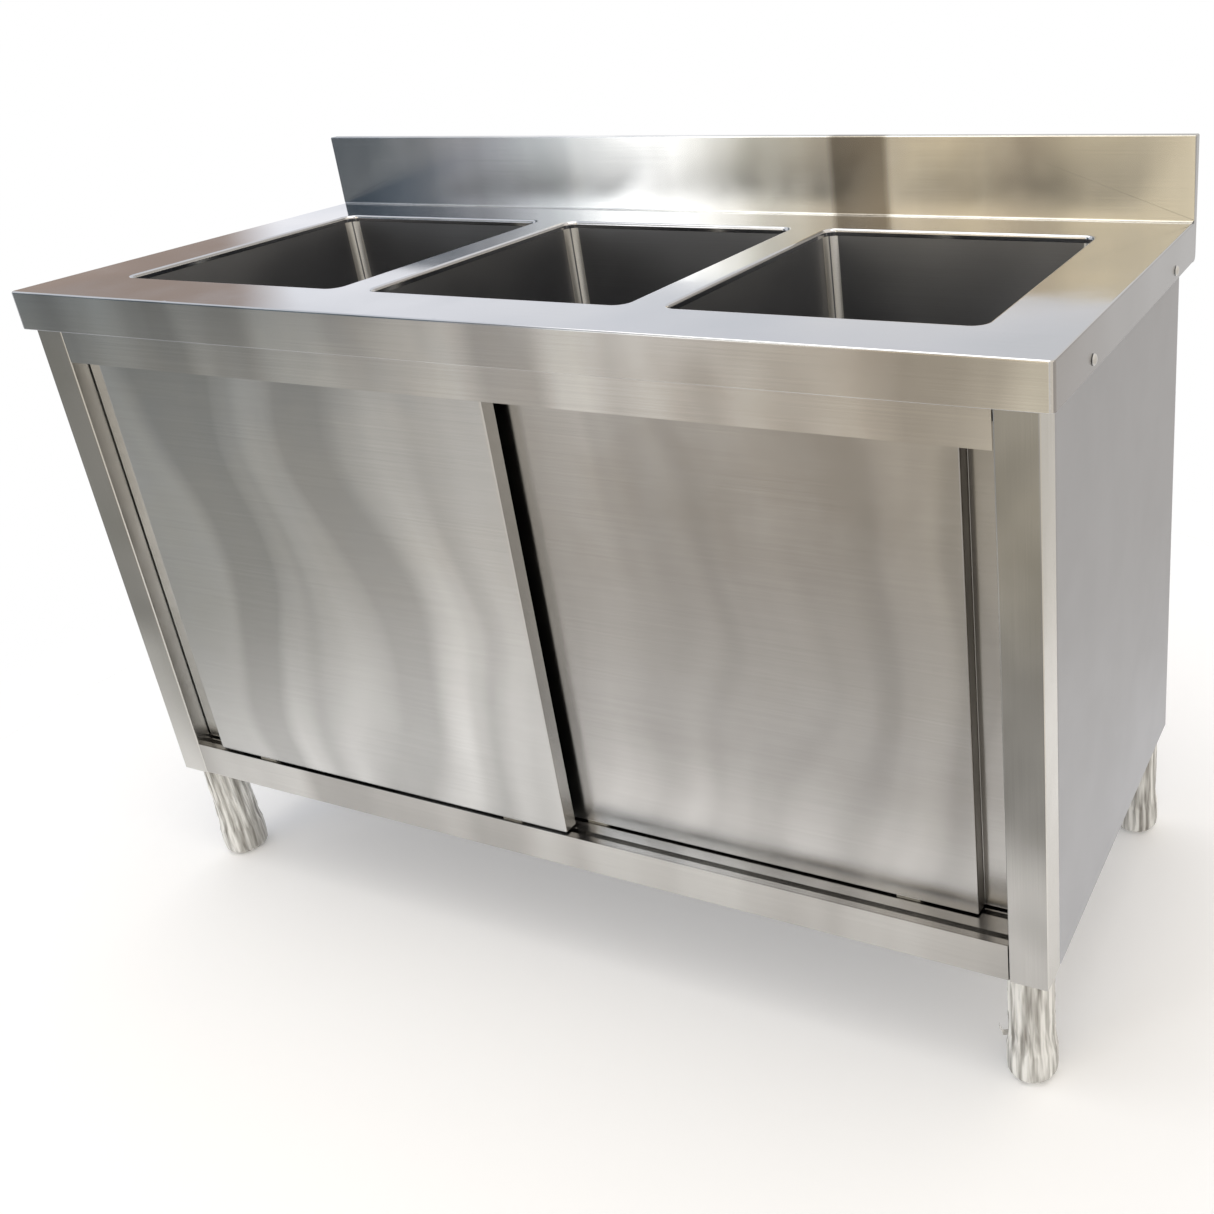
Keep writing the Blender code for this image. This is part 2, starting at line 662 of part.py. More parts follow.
def header_rail():
    """The strip under the apron that hides the door tracks, with a top flange that carries them."""
    half = BODY_SHEET / 2
    face = BODY_FRONT + SLIP + half
    top = BODY_TOP - SLIP - half
    points = [(face, HEADER_BOTTOM), (face, top), (rear_track_wall() - half, top)]
    folded_sheet("header_rail", points, 2 * (OPENING_HALF - SLIP), BODY_SHEET, ALONG_X, POLISHED)


def sill_rail():
    half = BODY_SHEET / 2
    face = BODY_FRONT + SLIP + half
    points = [
        (face, SILL_TOP),
        (face, BODY_BOTTOM + half),
        (face + POST_DEPTH, BODY_BOTTOM + half),
        (face + POST_DEPTH, BODY_BOTTOM + PANEL_FLANGE),
    ]
    folded_sheet("sill_rail", points, 2 * (OPENING_HALF - SLIP), BODY_SHEET, ALONG_X, POLISHED)


def door_centre(row):
    """Y of the middle of a door's thickness: row 0 runs in front, row 1 behind it."""
    return FRONT_DOOR_FACE + DOOR_THICKNESS / 2 + row * DOOR_PITCH


def roller_centre(row):
    """(y, z) of a roller's centre."""
    return door_centre(row) - ROLLER_OFFSET, track_lip_top() + ROLLER_GROOVE_RADIUS + GAP


def track_lip_top():
    return DOOR_TOP + TRACK_LIP_ABOVE_DOOR


def rear_track_wall():
    """Y of the middle of the rear track's upright."""
    return door_centre(1) + DOOR_THICKNESS / 2 - 2 * BODY_SHEET


def top_track():
    """A double J-shaped rail: each roller runs on an upturned lip."""
    half = BODY_SHEET / 2
    web_z = BODY_TOP - SLIP - BODY_SHEET - SLIP - half
    ledge = track_lip_top() - TRACK_LIP - half
    lip_rear = roller_centre(1)[0]
    wall_rear = rear_track_wall()
    length = 2 * (OPENING_HALF - SLIP)
    rear = [(lip_rear, track_lip_top()), (lip_rear, ledge), (wall_rear, ledge), (wall_rear, web_z)]
    start = FRONT_DOOR_FACE
    track = folded_sheet("top_track", rear + [(start, web_z)], length, BODY_SHEET, ALONG_X, BRUSHED)
    lip_front = lip_rear - DOOR_PITCH
    wall_front = wall_rear - DOOR_PITCH
    front = [(lip_front, track_lip_top()), (lip_front, ledge), (wall_front, ledge), (wall_front, web_z)]
    hook = folded_sheet("front_track_hook", front, length, BODY_SHEET, ALONG_X, BRUSHED)
    CUTTERS.objects.link(hook)
    PARTS.objects.unlink(hook)
    join(track, hook)


def bottom_track():
    """A plate behind the sill with a slot under each door for the door guides."""
    half = BODY_SHEET / 2
    top = SILL_TOP - half
    floor = top - GUIDE_SLOT_DEPTH
    points = [(BODY_FRONT + SLIP + BODY_SHEET + GAP, top)]
    for row in (0, 1):
        y = door_centre(row)
        wide = GUIDE_SLOT / 2 + half
        points += [(y - wide, top), (y - wide, floor), (y + wide, floor), (y + wide, top)]
    back = door_centre(1) + DOOR_THICKNESS / 2 + PANEL_FLANGE / 2
    points += [(back, top), (back, floor)]
    folded_sheet("bottom_track", points, 2 * (OPENING_HALF - SLIP), BODY_SHEET, ALONG_X, POLISHED)
    return back + half


def base_shelf(front):
    """The cabinet floor: a tray turned down at its edges and notched round the rear posts."""
    half_x = BODY_HALF - BODY_SHEET - SLIP
    back = BODY_BACK - BODY_SHEET - SLIP
    sheet = BODY_SHEET
    low = BODY_BOTTOM + SLIP
    shelf = box("base_shelf", (-half_x, front, low), (half_x, back, SHELF_TOP), BRUSHED)
    inside = (half_x - sheet, back - sheet, SHELF_TOP - sheet)
    cut(shelf, cutter_box("shelf_hollow", (-half_x + sheet, front + sheet, low - sheet), inside))
    notch_x = half_x - POST_WIDTH - SLIP
    notch_y = back - POST_DEPTH - SLIP
    for side in (LEFT, RIGHT):
        low_x, high_x = sorted((side * notch_x, side * (half_x + sheet)))
        corners = (low_x, notch_y, low - 2 * sheet), (high_x, back + sheet, SHELF_TOP + sheet)
        cut(shelf, cutter_box(f"shelf_notch_{side_name(side)}", *corners))


def apron_bolts():
    """Dome-headed bolts through the side aprons into the cabinet, each with its spacer and nut."""
    head, nut = BOLT_HEAD_RADIUS, BOLT_NUT_RADIUS
    apron = WIDTH / 2 + GAP
    inside = BODY_HALF - BODY_SHEET - GAP
    spacer_low, spacer_high = BODY_HALF + GAP, WIDTH / 2 - TOP_SHEET - GAP
    dome = [
        (head * math.sin(angle), apron + BOLT_HEAD_HEIGHT * math.cos(angle))
        for angle in (math.pi / 2 * step / CORNER_STEPS for step in range(CORNER_STEPS + 1))
    ]
    profile = dome + [
        (BOLT_RADIUS, apron),
        (BOLT_RADIUS, spacer_high),
        (2 * BOLT_RADIUS, spacer_high),
        (2 * BOLT_RADIUS, spacer_low),
        (BOLT_RADIUS, spacer_low),
        (BOLT_RADIUS, inside),
        (nut, inside),
        (nut, inside - BOLT_NUT_HEIGHT),
        (0, inside - BOLT_NUT_HEIGHT),
    ]
    for side in (LEFT, RIGHT):
        for end, y in bolt_stations():
            bolt = turned(f"apron_bolt_{end}_{side_name(side)}", profile, POLISHED, SMALL_STEPS, closed=False)
            bolt.location = (0, y, BOLT_Z)
            bolt.rotation_euler = (0, side * math.pi / 2, 0)


# ---------------------------------------------------------------- sliding doors
def door(side, row):
    """A double-skinned door that hangs from two rollers and slides in its own row."""
    name = side_name(side)
    skin = DOOR_SKIN
    face = door_centre(row) - DOOR_THICKNESS / 2
    back = face + DOOR_THICKNESS
    height = DOOR_TOP - DOOR_BOTTOM
    mid_z = (DOOR_TOP + DOOR_BOTTOM) / 2
    inner_end = -side * (DOOR_INNER_END - skin / 2)
    face_end = side * (DOOR_FACE_END - skin / 2)
    outline = [
        (side * DOOR_OUTER_END, back - skin / 2),
        (face_end, back - skin / 2),
        (face_end, face + skin / 2),
        (inner_end, face + skin / 2),
        (inner_end, back),
    ]
    frame = Matrix.Translation((0, 0, mid_z))
    folded_sheet(f"door_{name}_outer", outline, height, skin, frame, BRUSHED)
    tray = [
        (face + skin + GAP, DOOR_TOP - skin / 2),
        (back - skin / 2, DOOR_TOP - skin / 2),
        (back - skin / 2, DOOR_BOTTOM + skin / 2),
        (face + skin + GAP, DOOR_BOTTOM + skin / 2),
    ]
    ends = (side * (DOOR_FACE_END - skin - GAP), -side * (DOOR_INNER_END - skin - GAP))
    inner = folded_sheet(f"door_{name}_inner", tray, abs(ends[0] - ends[1]), skin, ALONG_X, BRUSHED)
    inner.location.x = sum(ends) / 2
    outer_x, inner_x = side * (DOOR_FACE_END - HANGER_INSET), -side * (DOOR_INNER_END - HANGER_INSET)
    for end, x in (("outer", outer_x), ("inner", inner_x)):
        hanger(f"door_{name}_hanger_{end}", x, row)
        roller(f"door_{name}_roller_{end}", x, row)
        guide(f"door_{name}_guide_{end}", x, row)


def hanger(name, x, row):
    """A bracket on the door's top edge with the roller's fixed axle."""
    y, z = roller_centre(row)
    back = y - ROLLER_WIDTH / 2 - 2 * GAP
    front = back - HANGER_PLATE
    foot_low = DOOR_TOP + GAP
    near, far = x - HANGER_WIDTH / 2, x + HANGER_WIDTH / 2
    bracket = box(name, (near, front, foot_low), (far, back, z + HANGER_ABOVE_AXLE), BRUSHED)
    foot_back = door_centre(row) + DOOR_THICKNESS / 2 - 2 * DOOR_SKIN
    foot_front = front + HANGER_PLATE / 2
    foot_top = foot_low + HANGER_PLATE
    join(bracket, cutter_box(f"{name}_foot", (near, foot_front, foot_low), (far, foot_back, foot_top)))
    head = y + ROLLER_WIDTH / 2 + 2 * GAP
    tip = head + AXLE_HEAD_HEIGHT
    root = back - HANGER_PLATE / 2
    join(bracket, cutter_bar(f"{name}_axle", AXLE_RADIUS, (x, root, z), (x, tip, z), SMALL_STEPS))
    join(bracket, cutter_bar(f"{name}_head", AXLE_HEAD_RADIUS, (x, head, z), (x, tip, z), SMALL_STEPS))


def roller(name, x, row):
    """A grooved nylon wheel that turns on its hanger's axle."""
    y, z = roller_centre(row)
    half, groove = ROLLER_WIDTH / 2, ROLLER_GROOVE_WIDTH / 2
    bore = AXLE_RADIUS + ROLLER_CLEARANCE
    profile = [
        (ROLLER_RADIUS, half),
        (ROLLER_RADIUS, groove),
        (ROLLER_GROOVE_RADIUS, groove),
        (ROLLER_GROOVE_RADIUS, -groove),
        (ROLLER_RADIUS, -groove),
        (ROLLER_RADIUS, -half),
        (bore, -half),
        (bore, half),
    ]
    wheel = turned(name, profile, NYLON, SMALL_STEPS)
    wheel.location = (x, y, z)
    wheel.rotation_euler = (math.pi / 2, 0, 0)


def guide(name, x, row):
    """A nylon shoe under the door whose tongue runs in the bottom track's slot."""
    y = door_centre(row)
    top = DOOR_BOTTOM - GAP
    base = top - HANGER_PLATE
    half = GUIDE_LENGTH / 2
    wide = DOOR_THICKNESS / 2 - 2 * DOOR_SKIN
    shoe = box(name, (x - half, y - wide, base), (x + half, y + wide, top), NYLON)
    tongue = GUIDE_TONGUE / 2
    low = SILL_TOP - GUIDE_SLOT_DEPTH + 3 * BODY_SHEET
    middle = (base + top) / 2
    join(shoe, cutter_box(f"{name}_tongue", (x - half, y - tongue, low), (x + half, y + tongue, middle)))


# ---------------------------------------------------------------- legs and feet
def leg(side, end):
    """A round leg under its welded plate, plugged at the bottom with a bush, and its screw-in foot."""
    name = f"{end}_{side_name(side)}"
    x = side * (WIDTH / 2 - LEG_INSET_X)
    y = FRONT_FACE + LEG_INSET_Y if end == "front" else BODY_BACK - (LEG_INSET_Y - BODY_FRONT_INSET)
    top = BODY_BOTTOM - GAP
    low = FOOT_HEIGHT + SLIP
    inner = LEG_RADIUS - LEG_WALL
    thread = FOOT_STEM_RADIUS + SLIP
    profile = [
        (LEG_RADIUS, top - LEG_PLATE / 2),
        (LEG_RADIUS, low),
        (thread, low),
        (thread, low + LEG_PLUG),
        (inner, low + LEG_PLUG),
        (inner, top - LEG_PLATE / 2),
    ]
    tube = turned(f"leg_{name}", profile, POLISHED)
    tube.location = (x, y, 0)
    half = LEG_RADIUS + LEG_PLATE_MARGIN
    plate = cutter_box(f"leg_plate_{name}", (x - half, y - half, top - LEG_PLATE), (x + half, y + half, top))
    join(tube, plate)
    stem_top = FOOT_HEIGHT + FOOT_STEM_LENGTH
    taper = FOOT_RADIUS - FOOT_BASE_RADIUS
    angles = [math.pi / 2 * step / CORNER_STEPS for step in range(CORNER_STEPS + 1)]
    curve = [(FOOT_BASE_RADIUS + taper * math.cos(a), FOOT_SHOULDER * (1 - math.sin(a))) for a in angles]
    stem = [(0, stem_top), (FOOT_STEM_RADIUS, stem_top), (FOOT_STEM_RADIUS, FOOT_HEIGHT)]
    profile = stem + [(FOOT_RADIUS, FOOT_HEIGHT)] + curve + [(0, 0)]
    turned(f"foot_{name}", profile, POLISHED, closed=False).location = (x, y, 0)


# ---------------------------------------------------------------- the whole sink
def build():
    worktop()
    bowls()
    for side, x in BOWL_SIDES:
        waste_body(side, x)
        waste_gasket(side, x)
        waste_nut(side, x)
        strainer_basket(side, x)
    drain_manifold()
    bottle_trap()
    posts()
    for side in (LEFT, RIGHT):
        side_panel(side)
    back_panel()
    header_rail()
    sill_rail()
    top_track()
    track_back = bottom_track()
    base_shelf(track_back + SLIP)
    apron_bolts()
    door(LEFT, row=0)
    door(RIGHT, row=1)
    for side in (LEFT, RIGHT):
        for end in ("front", "rear"):
            leg(side, end)


build()
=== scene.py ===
import math

import bmesh
import bpy
from mathutils import Matrix, Vector


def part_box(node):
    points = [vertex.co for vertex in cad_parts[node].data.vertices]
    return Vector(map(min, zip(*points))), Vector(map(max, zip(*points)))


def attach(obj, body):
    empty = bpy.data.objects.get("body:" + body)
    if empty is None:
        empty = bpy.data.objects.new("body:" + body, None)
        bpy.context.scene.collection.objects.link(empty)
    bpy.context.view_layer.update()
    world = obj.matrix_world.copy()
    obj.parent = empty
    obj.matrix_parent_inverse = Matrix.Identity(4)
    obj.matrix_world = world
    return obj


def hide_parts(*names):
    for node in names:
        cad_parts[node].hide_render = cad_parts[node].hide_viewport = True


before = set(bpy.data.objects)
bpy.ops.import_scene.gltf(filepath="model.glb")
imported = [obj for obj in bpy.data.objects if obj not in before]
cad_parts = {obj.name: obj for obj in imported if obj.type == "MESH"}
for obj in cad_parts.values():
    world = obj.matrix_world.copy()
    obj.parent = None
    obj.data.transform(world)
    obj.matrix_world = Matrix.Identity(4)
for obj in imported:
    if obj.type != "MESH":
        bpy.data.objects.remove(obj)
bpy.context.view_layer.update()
sides = (("left", -1), ("right", 1))
ends = ("front", "rear")
bowlNames = ("left", "middle", "right")
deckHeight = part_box("bowl_middle")[1].z


# selecting and shaping, as by hand
def letGo():
    if bpy.context.object and bpy.context.object.mode != "OBJECT":
        bpy.ops.object.mode_set(mode="OBJECT")
    bpy.ops.object.select_all(action="DESELECT")


def takeUp(piece):
    letGo()
    piece.select_set(True)
    bpy.context.view_layer.objects.active = piece


def settle(piece):
    # the place goes into the mesh, and the object stays at the origin
    takeUp(piece)
    bpy.ops.object.transform_apply(location=True, rotation=True, scale=True)
    return piece


def newPiece(name):
    piece = bpy.context.object
    piece.name = piece.data.name = name
    return piece


def addBox(name, low, high):
    letGo()
    low, high = Vector(low), Vector(high)
    bpy.ops.mesh.primitive_cube_add(size=1, location=(low + high) / 2)
    piece = newPiece(name)
    piece.scale = high - low
    return settle(piece)


def addRod(name, radius, start, end, segments=48):
    letGo()
    start, end = Vector(start), Vector(end)
    bpy.ops.mesh.primitive_cylinder_add(
        vertices=segments, radius=radius, depth=(end - start).length, location=(start + end) / 2
    )
    piece = newPiece(name)
    piece.rotation_euler = (end - start).to_track_quat("Z", "Y").to_euler()
    return settle(piece)


def pick(piece, kind, test):
    # opens the piece for editing with only what passes the test selected
    if bpy.context.object != piece or piece.mode != "EDIT":
        takeUp(piece)
        bpy.ops.object.mode_set(mode="EDIT")
    bpy.ops.mesh.select_mode(type=kind)
    bpy.ops.mesh.select_all(action="DESELECT")
    shape = bmesh.from_edit_mesh(piece.data)
    for item in {"VERT": shape.verts, "EDGE": shape.edges, "FACE": shape.faces}[kind]:
        if test(item):
            item.select_set(True)
    bmesh.update_edit_mesh(piece.data)


def middle(item):
    return sum((corner.co for corner in item.verts), Vector()) / len(item.verts)


def near(value, target, reach=1e-4):
    return abs(value - target) < reach


def runs(edge, axis):
    # true if the edge lies along x (0), y (1) or z (2)
    way = edge.verts[1].co - edge.verts[0].co
    return abs(way[axis]) > 0.999 * way.length


def sharp(edge, angle=0.5):
    return len(edge.link_faces) == 2 and edge.calc_face_angle() > angle


def bevelEdges(width, segments=3):
    bpy.ops.mesh.bevel(offset=width, segments=segments, profile=0.5, affect="EDGES", clamp_overlap=False)


def apply(piece, kind, **settings):
    takeUp(piece)
    step = piece.modifiers.new(kind.title(), kind)
    for key, value in settings.items():
        setattr(step, key, value)
    bpy.ops.object.modifier_apply(modifier=step.name)
    return piece


def cutAway(piece, other, operation="DIFFERENCE"):
    apply(piece, "BOOLEAN", operation=operation, object=other, solver="EXACT")
    bpy.data.objects.remove(other)
    return piece


def smooth(piece, angle=35):
    # flat faces keep their own direction, so only the folds beside them shade round
    takeUp(piece)
    bpy.ops.object.shade_smooth_by_angle(angle=math.radians(angle))
    return apply(piece, "WEIGHTED_NORMAL", mode="FACE_AREA", weight=100, keep_sharp=True)


def faceOut(piece):
    pick(piece, "FACE", lambda face: True)
    bpy.ops.mesh.remove_doubles(threshold=1e-5)
    bpy.ops.mesh.normals_make_consistent(inside=False)
    letGo()


def easeEdges(piece, width, segments=2, angle=40):
    # breaks every sharp edge of a finished solid
    apply(piece, "BEVEL", width=width, segments=segments, limit_method="ANGLE",
          angle_limit=math.radians(angle), use_clamp_overlap=True)
    return smooth(piece, 30)


def dress(piece, body, material, slot, *nodes):
    # hangs a finished piece on its body, in place of its CAD nodes
    piece.data.materials.clear()
    for each in material if isinstance(material, (list, tuple)) else [material]:
        piece.data.materials.append(each)
    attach(piece, body)
    if nodes:
        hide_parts(*nodes)
    return piece


def copyPiece(piece, name, shift=(0, 0, 0), mirrorX=False):
    double = piece.copy()
    double.data = piece.data.copy()
    double.name = double.data.name = name
    bpy.context.scene.collection.objects.link(double)
    double.location = shift
    double.scale = (-1 if mirrorX else 1, 1, 1)
    settle(double)
    if mirrorX:
        pick(double, "FACE", lambda face: True)
        bpy.ops.mesh.normals_make_consistent(inside=False)
        letGo()
    return double


alongAxis = {  # where a fold line's length and its two coordinates go
    "x": Matrix(((1, 0, 0), (0, 1, 0), (0, 0, 1))),
    "z": Matrix(((0, 1, 0), (0, 0, 1), (1, 0, 0))),
}


def foldSheet(name, line, start, stop, along, gauge, radius):
    # sheet metal: a plane on the line's first stretch, drawn on from fold to fold, then given its gauge
    letGo()
    first, second = Vector(line[0]), Vector(line[1])
    bpy.ops.mesh.primitive_plane_add(size=1)
    piece = newPiece(name)
    piece.scale = (stop - start, (second - first).length, 1)
    piece.rotation_euler = (math.atan2(second.y - first.y, second.x - first.x), 0, 0)
    piece.location = ((start + stop) / 2, *(first + second) / 2)
    settle(piece)
    pick(piece, "EDGE", lambda edge: (middle(edge).yz - second).length < 1e-5)
    for here, there in zip(line[1:], line[2:]):
        move = Vector(there) - Vector(here)
        bpy.ops.mesh.extrude_region_move(TRANSFORM_OT_translate={"value": (0, *move)})
    letGo()
    if len(line) > 2:
        apply(piece, "BEVEL", width=radius, segments=5, limit_method="ANGLE", angle_limit=math.radians(20))
    apply(piece, "SOLIDIFY", thickness=gauge, offset=0, use_even_offset=True)
    piece.matrix_world = alongAxis[along].to_4x4()
    settle(piece)
    faceOut(piece)
    return smooth(piece)


def turnPiece(name, centre, profile, segments=48, solid=False, axis="z", closed=False):
    # a ring or disc drawn out level by level along its (radius, height) profile
    letGo()
    radius, height = profile[0]
    bpy.ops.mesh.primitive_circle_add(
        vertices=segments, radius=radius, location=(0, 0, height), fill_type="NGON" if solid else "NOTHING"
    )
    piece = newPiece(name)
    settle(piece)
    bpy.ops.object.mode_set(mode="EDIT")
    bpy.ops.mesh.select_mode(type="VERT")
    bpy.ops.mesh.select_all(action="SELECT")
    for (r0, h0), (r1, h1) in zip(profile, profile[1:] + profile[:1] * closed):
        bpy.ops.mesh.extrude_region_move(TRANSFORM_OT_translate={"value": (0, 0, h1 - h0)})
        bpy.ops.transform.resize(value=(r1 / r0, r1 / r0, 1), center_override=(0, 0, h1))
    letGo()
    piece.rotation_euler = {"z": (0, 0, 0), "y": (math.pi / 2, 0, 0), "x": (0, math.pi / 2, 0)}[axis]
    piece.location = centre
    settle(piece)
    faceOut(piece)
    return smooth(piece)


def arc(centre, radius, first, last, steps=6):
    # points of a round stretch in a profile; angles in degrees
    angles = (math.radians(first + (last - first) * step / steps) for step in range(steps + 1))
    return [(centre[0] + radius * math.cos(a), centre[1] + radius * math.sin(a)) for a in angles]


# materials
def linear(colour):
    channels = (int(colour[i:i + 2], 16) / 255 for i in (1, 3, 5))
    return (*(c / 12.92 if c <= 0.04045 else ((c + 0.055) / 1.055) ** 2.4 for c in channels), 1)


def addNode(tree, kind, settings=(), links=()):
    node = tree.nodes.new("ShaderNode" + kind)
    for key, value in dict(settings).items():
        if isinstance(key, int) or key in node.inputs:
            node.inputs[key].default_value = value
        else:
            setattr(node, key, value)
    for key, socket in dict(links).items():
        tree.links.new(socket, node.inputs[key])
    return node


def newMaterial(name, **sockets):
    material = bpy.data.materials.new(name)
    material.use_nodes = True
    shader = material.node_tree.nodes["Principled BSDF"]
    for key, value in sockets.items():
        shader.inputs[key.replace("_", " ")].default_value = value
    return material, material.node_tree, shader


def setRamp(node, stops, easing="LINEAR"):
    ramp = node.color_ramp
    ramp.interpolation = easing
    while len(ramp.elements) < len(stops):
        ramp.elements.new(0.5)
    for element, (place, colour) in zip(ramp.elements, stops):
        element.position = place
        element.color = linear(colour) if isinstance(colour, str) else (colour, colour, colour, 1)
    return node.outputs["Color"]


def brushedStainless(name, finish):
    # 304 sheet, belt-brushed: fine scratches one way draw reflections out across them
    material, tree, shader = newMaterial(
        name, Metallic=1, Roughness=finish["roughness"], Anisotropic=finish.get("anisotropy", 0.85),
        Anisotropic_Rotation=0.0 if finish.get("grain") == "z" else 0.25,
    )
    place = addNode(tree, "TexCoord").outputs["Object"]
    way = addNode(tree, "Tangent", {"direction_type": "RADIAL", "axis": finish.get("tangent", "Z")})
    tree.links.new(way.outputs[0], shader.inputs["Tangent"])
    # real scratches are 0.05 mm wide; these are drawn at 1 mm so that they show
    grainScale = Vector((1000, 1000, 1000))
    grainScale["xyz".index(finish.get("grain", "x"))] = 4
    stretched = addNode(tree, "Mapping", {"Scale": grainScale}, {"Vector": place}).outputs[0]
    grain = addNode(tree, "TexNoise", {"Scale": 1, "Detail": 3, "Roughness": 0.6}, {"Vector": stretched})
    # slow swells of the rolled sheet, a few in each metre
    swellPlace = addNode(tree, "Mapping", {"Scale": finish["swell"]}, {"Vector": place}).outputs[0]
    if "bend" in finish:
        drift = addNode(tree, "TexNoise", {"Scale": 2.6, "Detail": 1}, {"Vector": place}).outputs["Color"]
        swellPlace = addNode(
            tree, "VectorMath", {"operation": "MULTIPLY_ADD", 1: finish["bend"]}, {0: drift, 2: swellPlace}
        ).outputs[0]
    swell = addNode(tree, "TexNoise", {"Scale": 1, "Detail": 1.5, "Roughness": 0.4}, {"Vector": swellPlace})
    # painted reflection: the tone rises and falls with the same swells that bend the normal, laying light
    # and dark bands where the waves would mirror the room
    tone = setRamp(
        addNode(tree, "ValToRGB", links={"Fac": swell.outputs["Fac"]}),
        ((0.36, finish["dark"]), (0.5, finish["colour"]), (0.64, finish["light"])),
    )
    grainDepth = finish.get("grainDepth", 0.1)
    grainTone = addNode(
        tree, "MapRange", {"From Min": 0.3, "From Max": 0.7, "To Min": 1 - grainDepth},
        {"Value": grain.outputs["Fac"]},
    ).outputs[0]
    tone = addNode(
        tree, "MixRGB", {"blend_type": "MULTIPLY", "Fac": 1.0}, {"Color1": tone, "Color2": grainTone}
    ).outputs[0]
    if "ramp" in finish:
        # painted reflection and shade: a slow change of tone up or along the piece, standing in for what
        # the metal mirrors and where it lies in shade
        low, high = finish["rampSpan"]
        along = addNode(tree, "SeparateXYZ",
                        links={"Vector": place}).outputs["xyz".index(finish["rampAxis"])]
        share = addNode(tree, "MapRange", {"From Min": low, "From Max": high}, {"Value": along}).outputs[0]
        wobble = addNode(
            tree, "Math", {"operation": "MULTIPLY_ADD", 1: finish.get("wobble", 0.06)},
            {0: swell.outputs["Fac"], 2: share},
        ).outputs[0]
        ramp = setRamp(addNode(tree, "ValToRGB", links={"Fac": wobble}), finish["ramp"], "EASE")
        tone = addNode(
            tree, "MixRGB", {"blend_type": "MULTIPLY", "Fac": 1.0}, {"Color1": tone, "Color2": ramp}
        ).outputs[0]
    tree.links.new(tone, shader.inputs["Base Color"])
    # hands and cloths leave duller patches a few centimetres wide
    smudge = addNode(tree, "TexNoise", {"Scale": 12, "Detail": 3, "Roughness": 0.5}, {"Vector": place})
    depth = finish.get("roughnessDepth", 0.03)
    rough = addNode(
        tree, "MapRange",
        {"From Min": 0.35, "From Max": 0.65, "To Min": finish["roughness"] - depth,
         "To Max": finish["roughness"] + depth},
        {"Value": smudge.outputs["Fac"]},
    )
    tree.links.new(rough.outputs[0], shader.inputs["Roughness"])
    scratches = addNode(
        tree, "Bump", {"Strength": finish.get("bump", 0.3), "Distance": 0.00003},
        {"Height": grain.outputs["Fac"]}
    )
    waves = addNode(
        tree, "Bump", {"Strength": 1, "Distance": finish["swellDepth"]},
        {"Height": swell.outputs["Fac"], "Normal": scratches.outputs["Normal"]},
    )
    tree.links.new(waves.outputs["Normal"], shader.inputs["Normal"])
    return material


def mouldedPlastic(name, finish):
    # injection-moulded: an even colour, a fine orange-peel skin and a soft sheen
    material, tree, shader = newMaterial(name, Roughness=finish["roughness"], IOR=finish["ior"])
    place = addNode(tree, "TexCoord").outputs["Object"]
    cloud = addNode(tree, "TexNoise", {"Scale": 40, "Detail": 4}, {"Vector": place})
    tone = setRamp(
        addNode(tree, "ValToRGB", links={"Fac": cloud.outputs["Fac"]}),
        ((0.3, finish["dark"]), (0.7, finish["colour"]))
    )
    tree.links.new(tone, shader.inputs["Base Color"])
    skin = addNode(tree, "TexNoise", {"Scale": 900, "Detail": 2}, {"Vector": place})  # skin cells of 1.1 mm
    bump = addNode(tree, "Bump", {"Strength": 0.15, "Distance": 0.0001}, {"Height": skin.outputs["Fac"]})
    tree.links.new(bump.outputs["Normal"], shader.inputs["Normal"])
    return material


def stretchFilm(name, finish):
    # clear polyethylene packing film, milky where it lies over itself
    material, tree, shader = newMaterial(name, Roughness=finish["roughness"], IOR=1.51)
    place = addNode(tree, "TexCoord").outputs["Object"]
    stretched = addNode(tree, "Mapping", {"Scale": (120, 120, 9)}, {"Vector": place}).outputs[0]
    folds = addNode(tree, "TexNoise", {"Scale": 1, "Detail": 2.5, "Roughness": 0.5}, {"Vector": stretched})
    # painted shade: the film is darker along the hollows of the same fold pattern that the bump sinks
    tone = setRamp(
        addNode(tree, "ValToRGB", links={"Fac": folds.outputs["Fac"]}),
        ((0.36, finish["dark"]), (0.6, finish["colour"]))
    )
    tree.links.new(tone, shader.inputs["Base Color"])
    cover = addNode(
        tree, "MapRange", {"From Min": 0.35, "From Max": 0.65, "To Min": finish["thin"],
                           "To Max": finish["milky"]},
        {"Value": folds.outputs["Fac"]},
    )
    tree.links.new(cover.outputs[0], shader.inputs["Alpha"])
    bump = addNode(tree, "Bump", {"Strength": 0.4, "Distance": 0.0006}, {"Height": folds.outputs["Fac"]})
    tree.links.new(bump.outputs["Normal"], shader.inputs["Normal"])
    return material


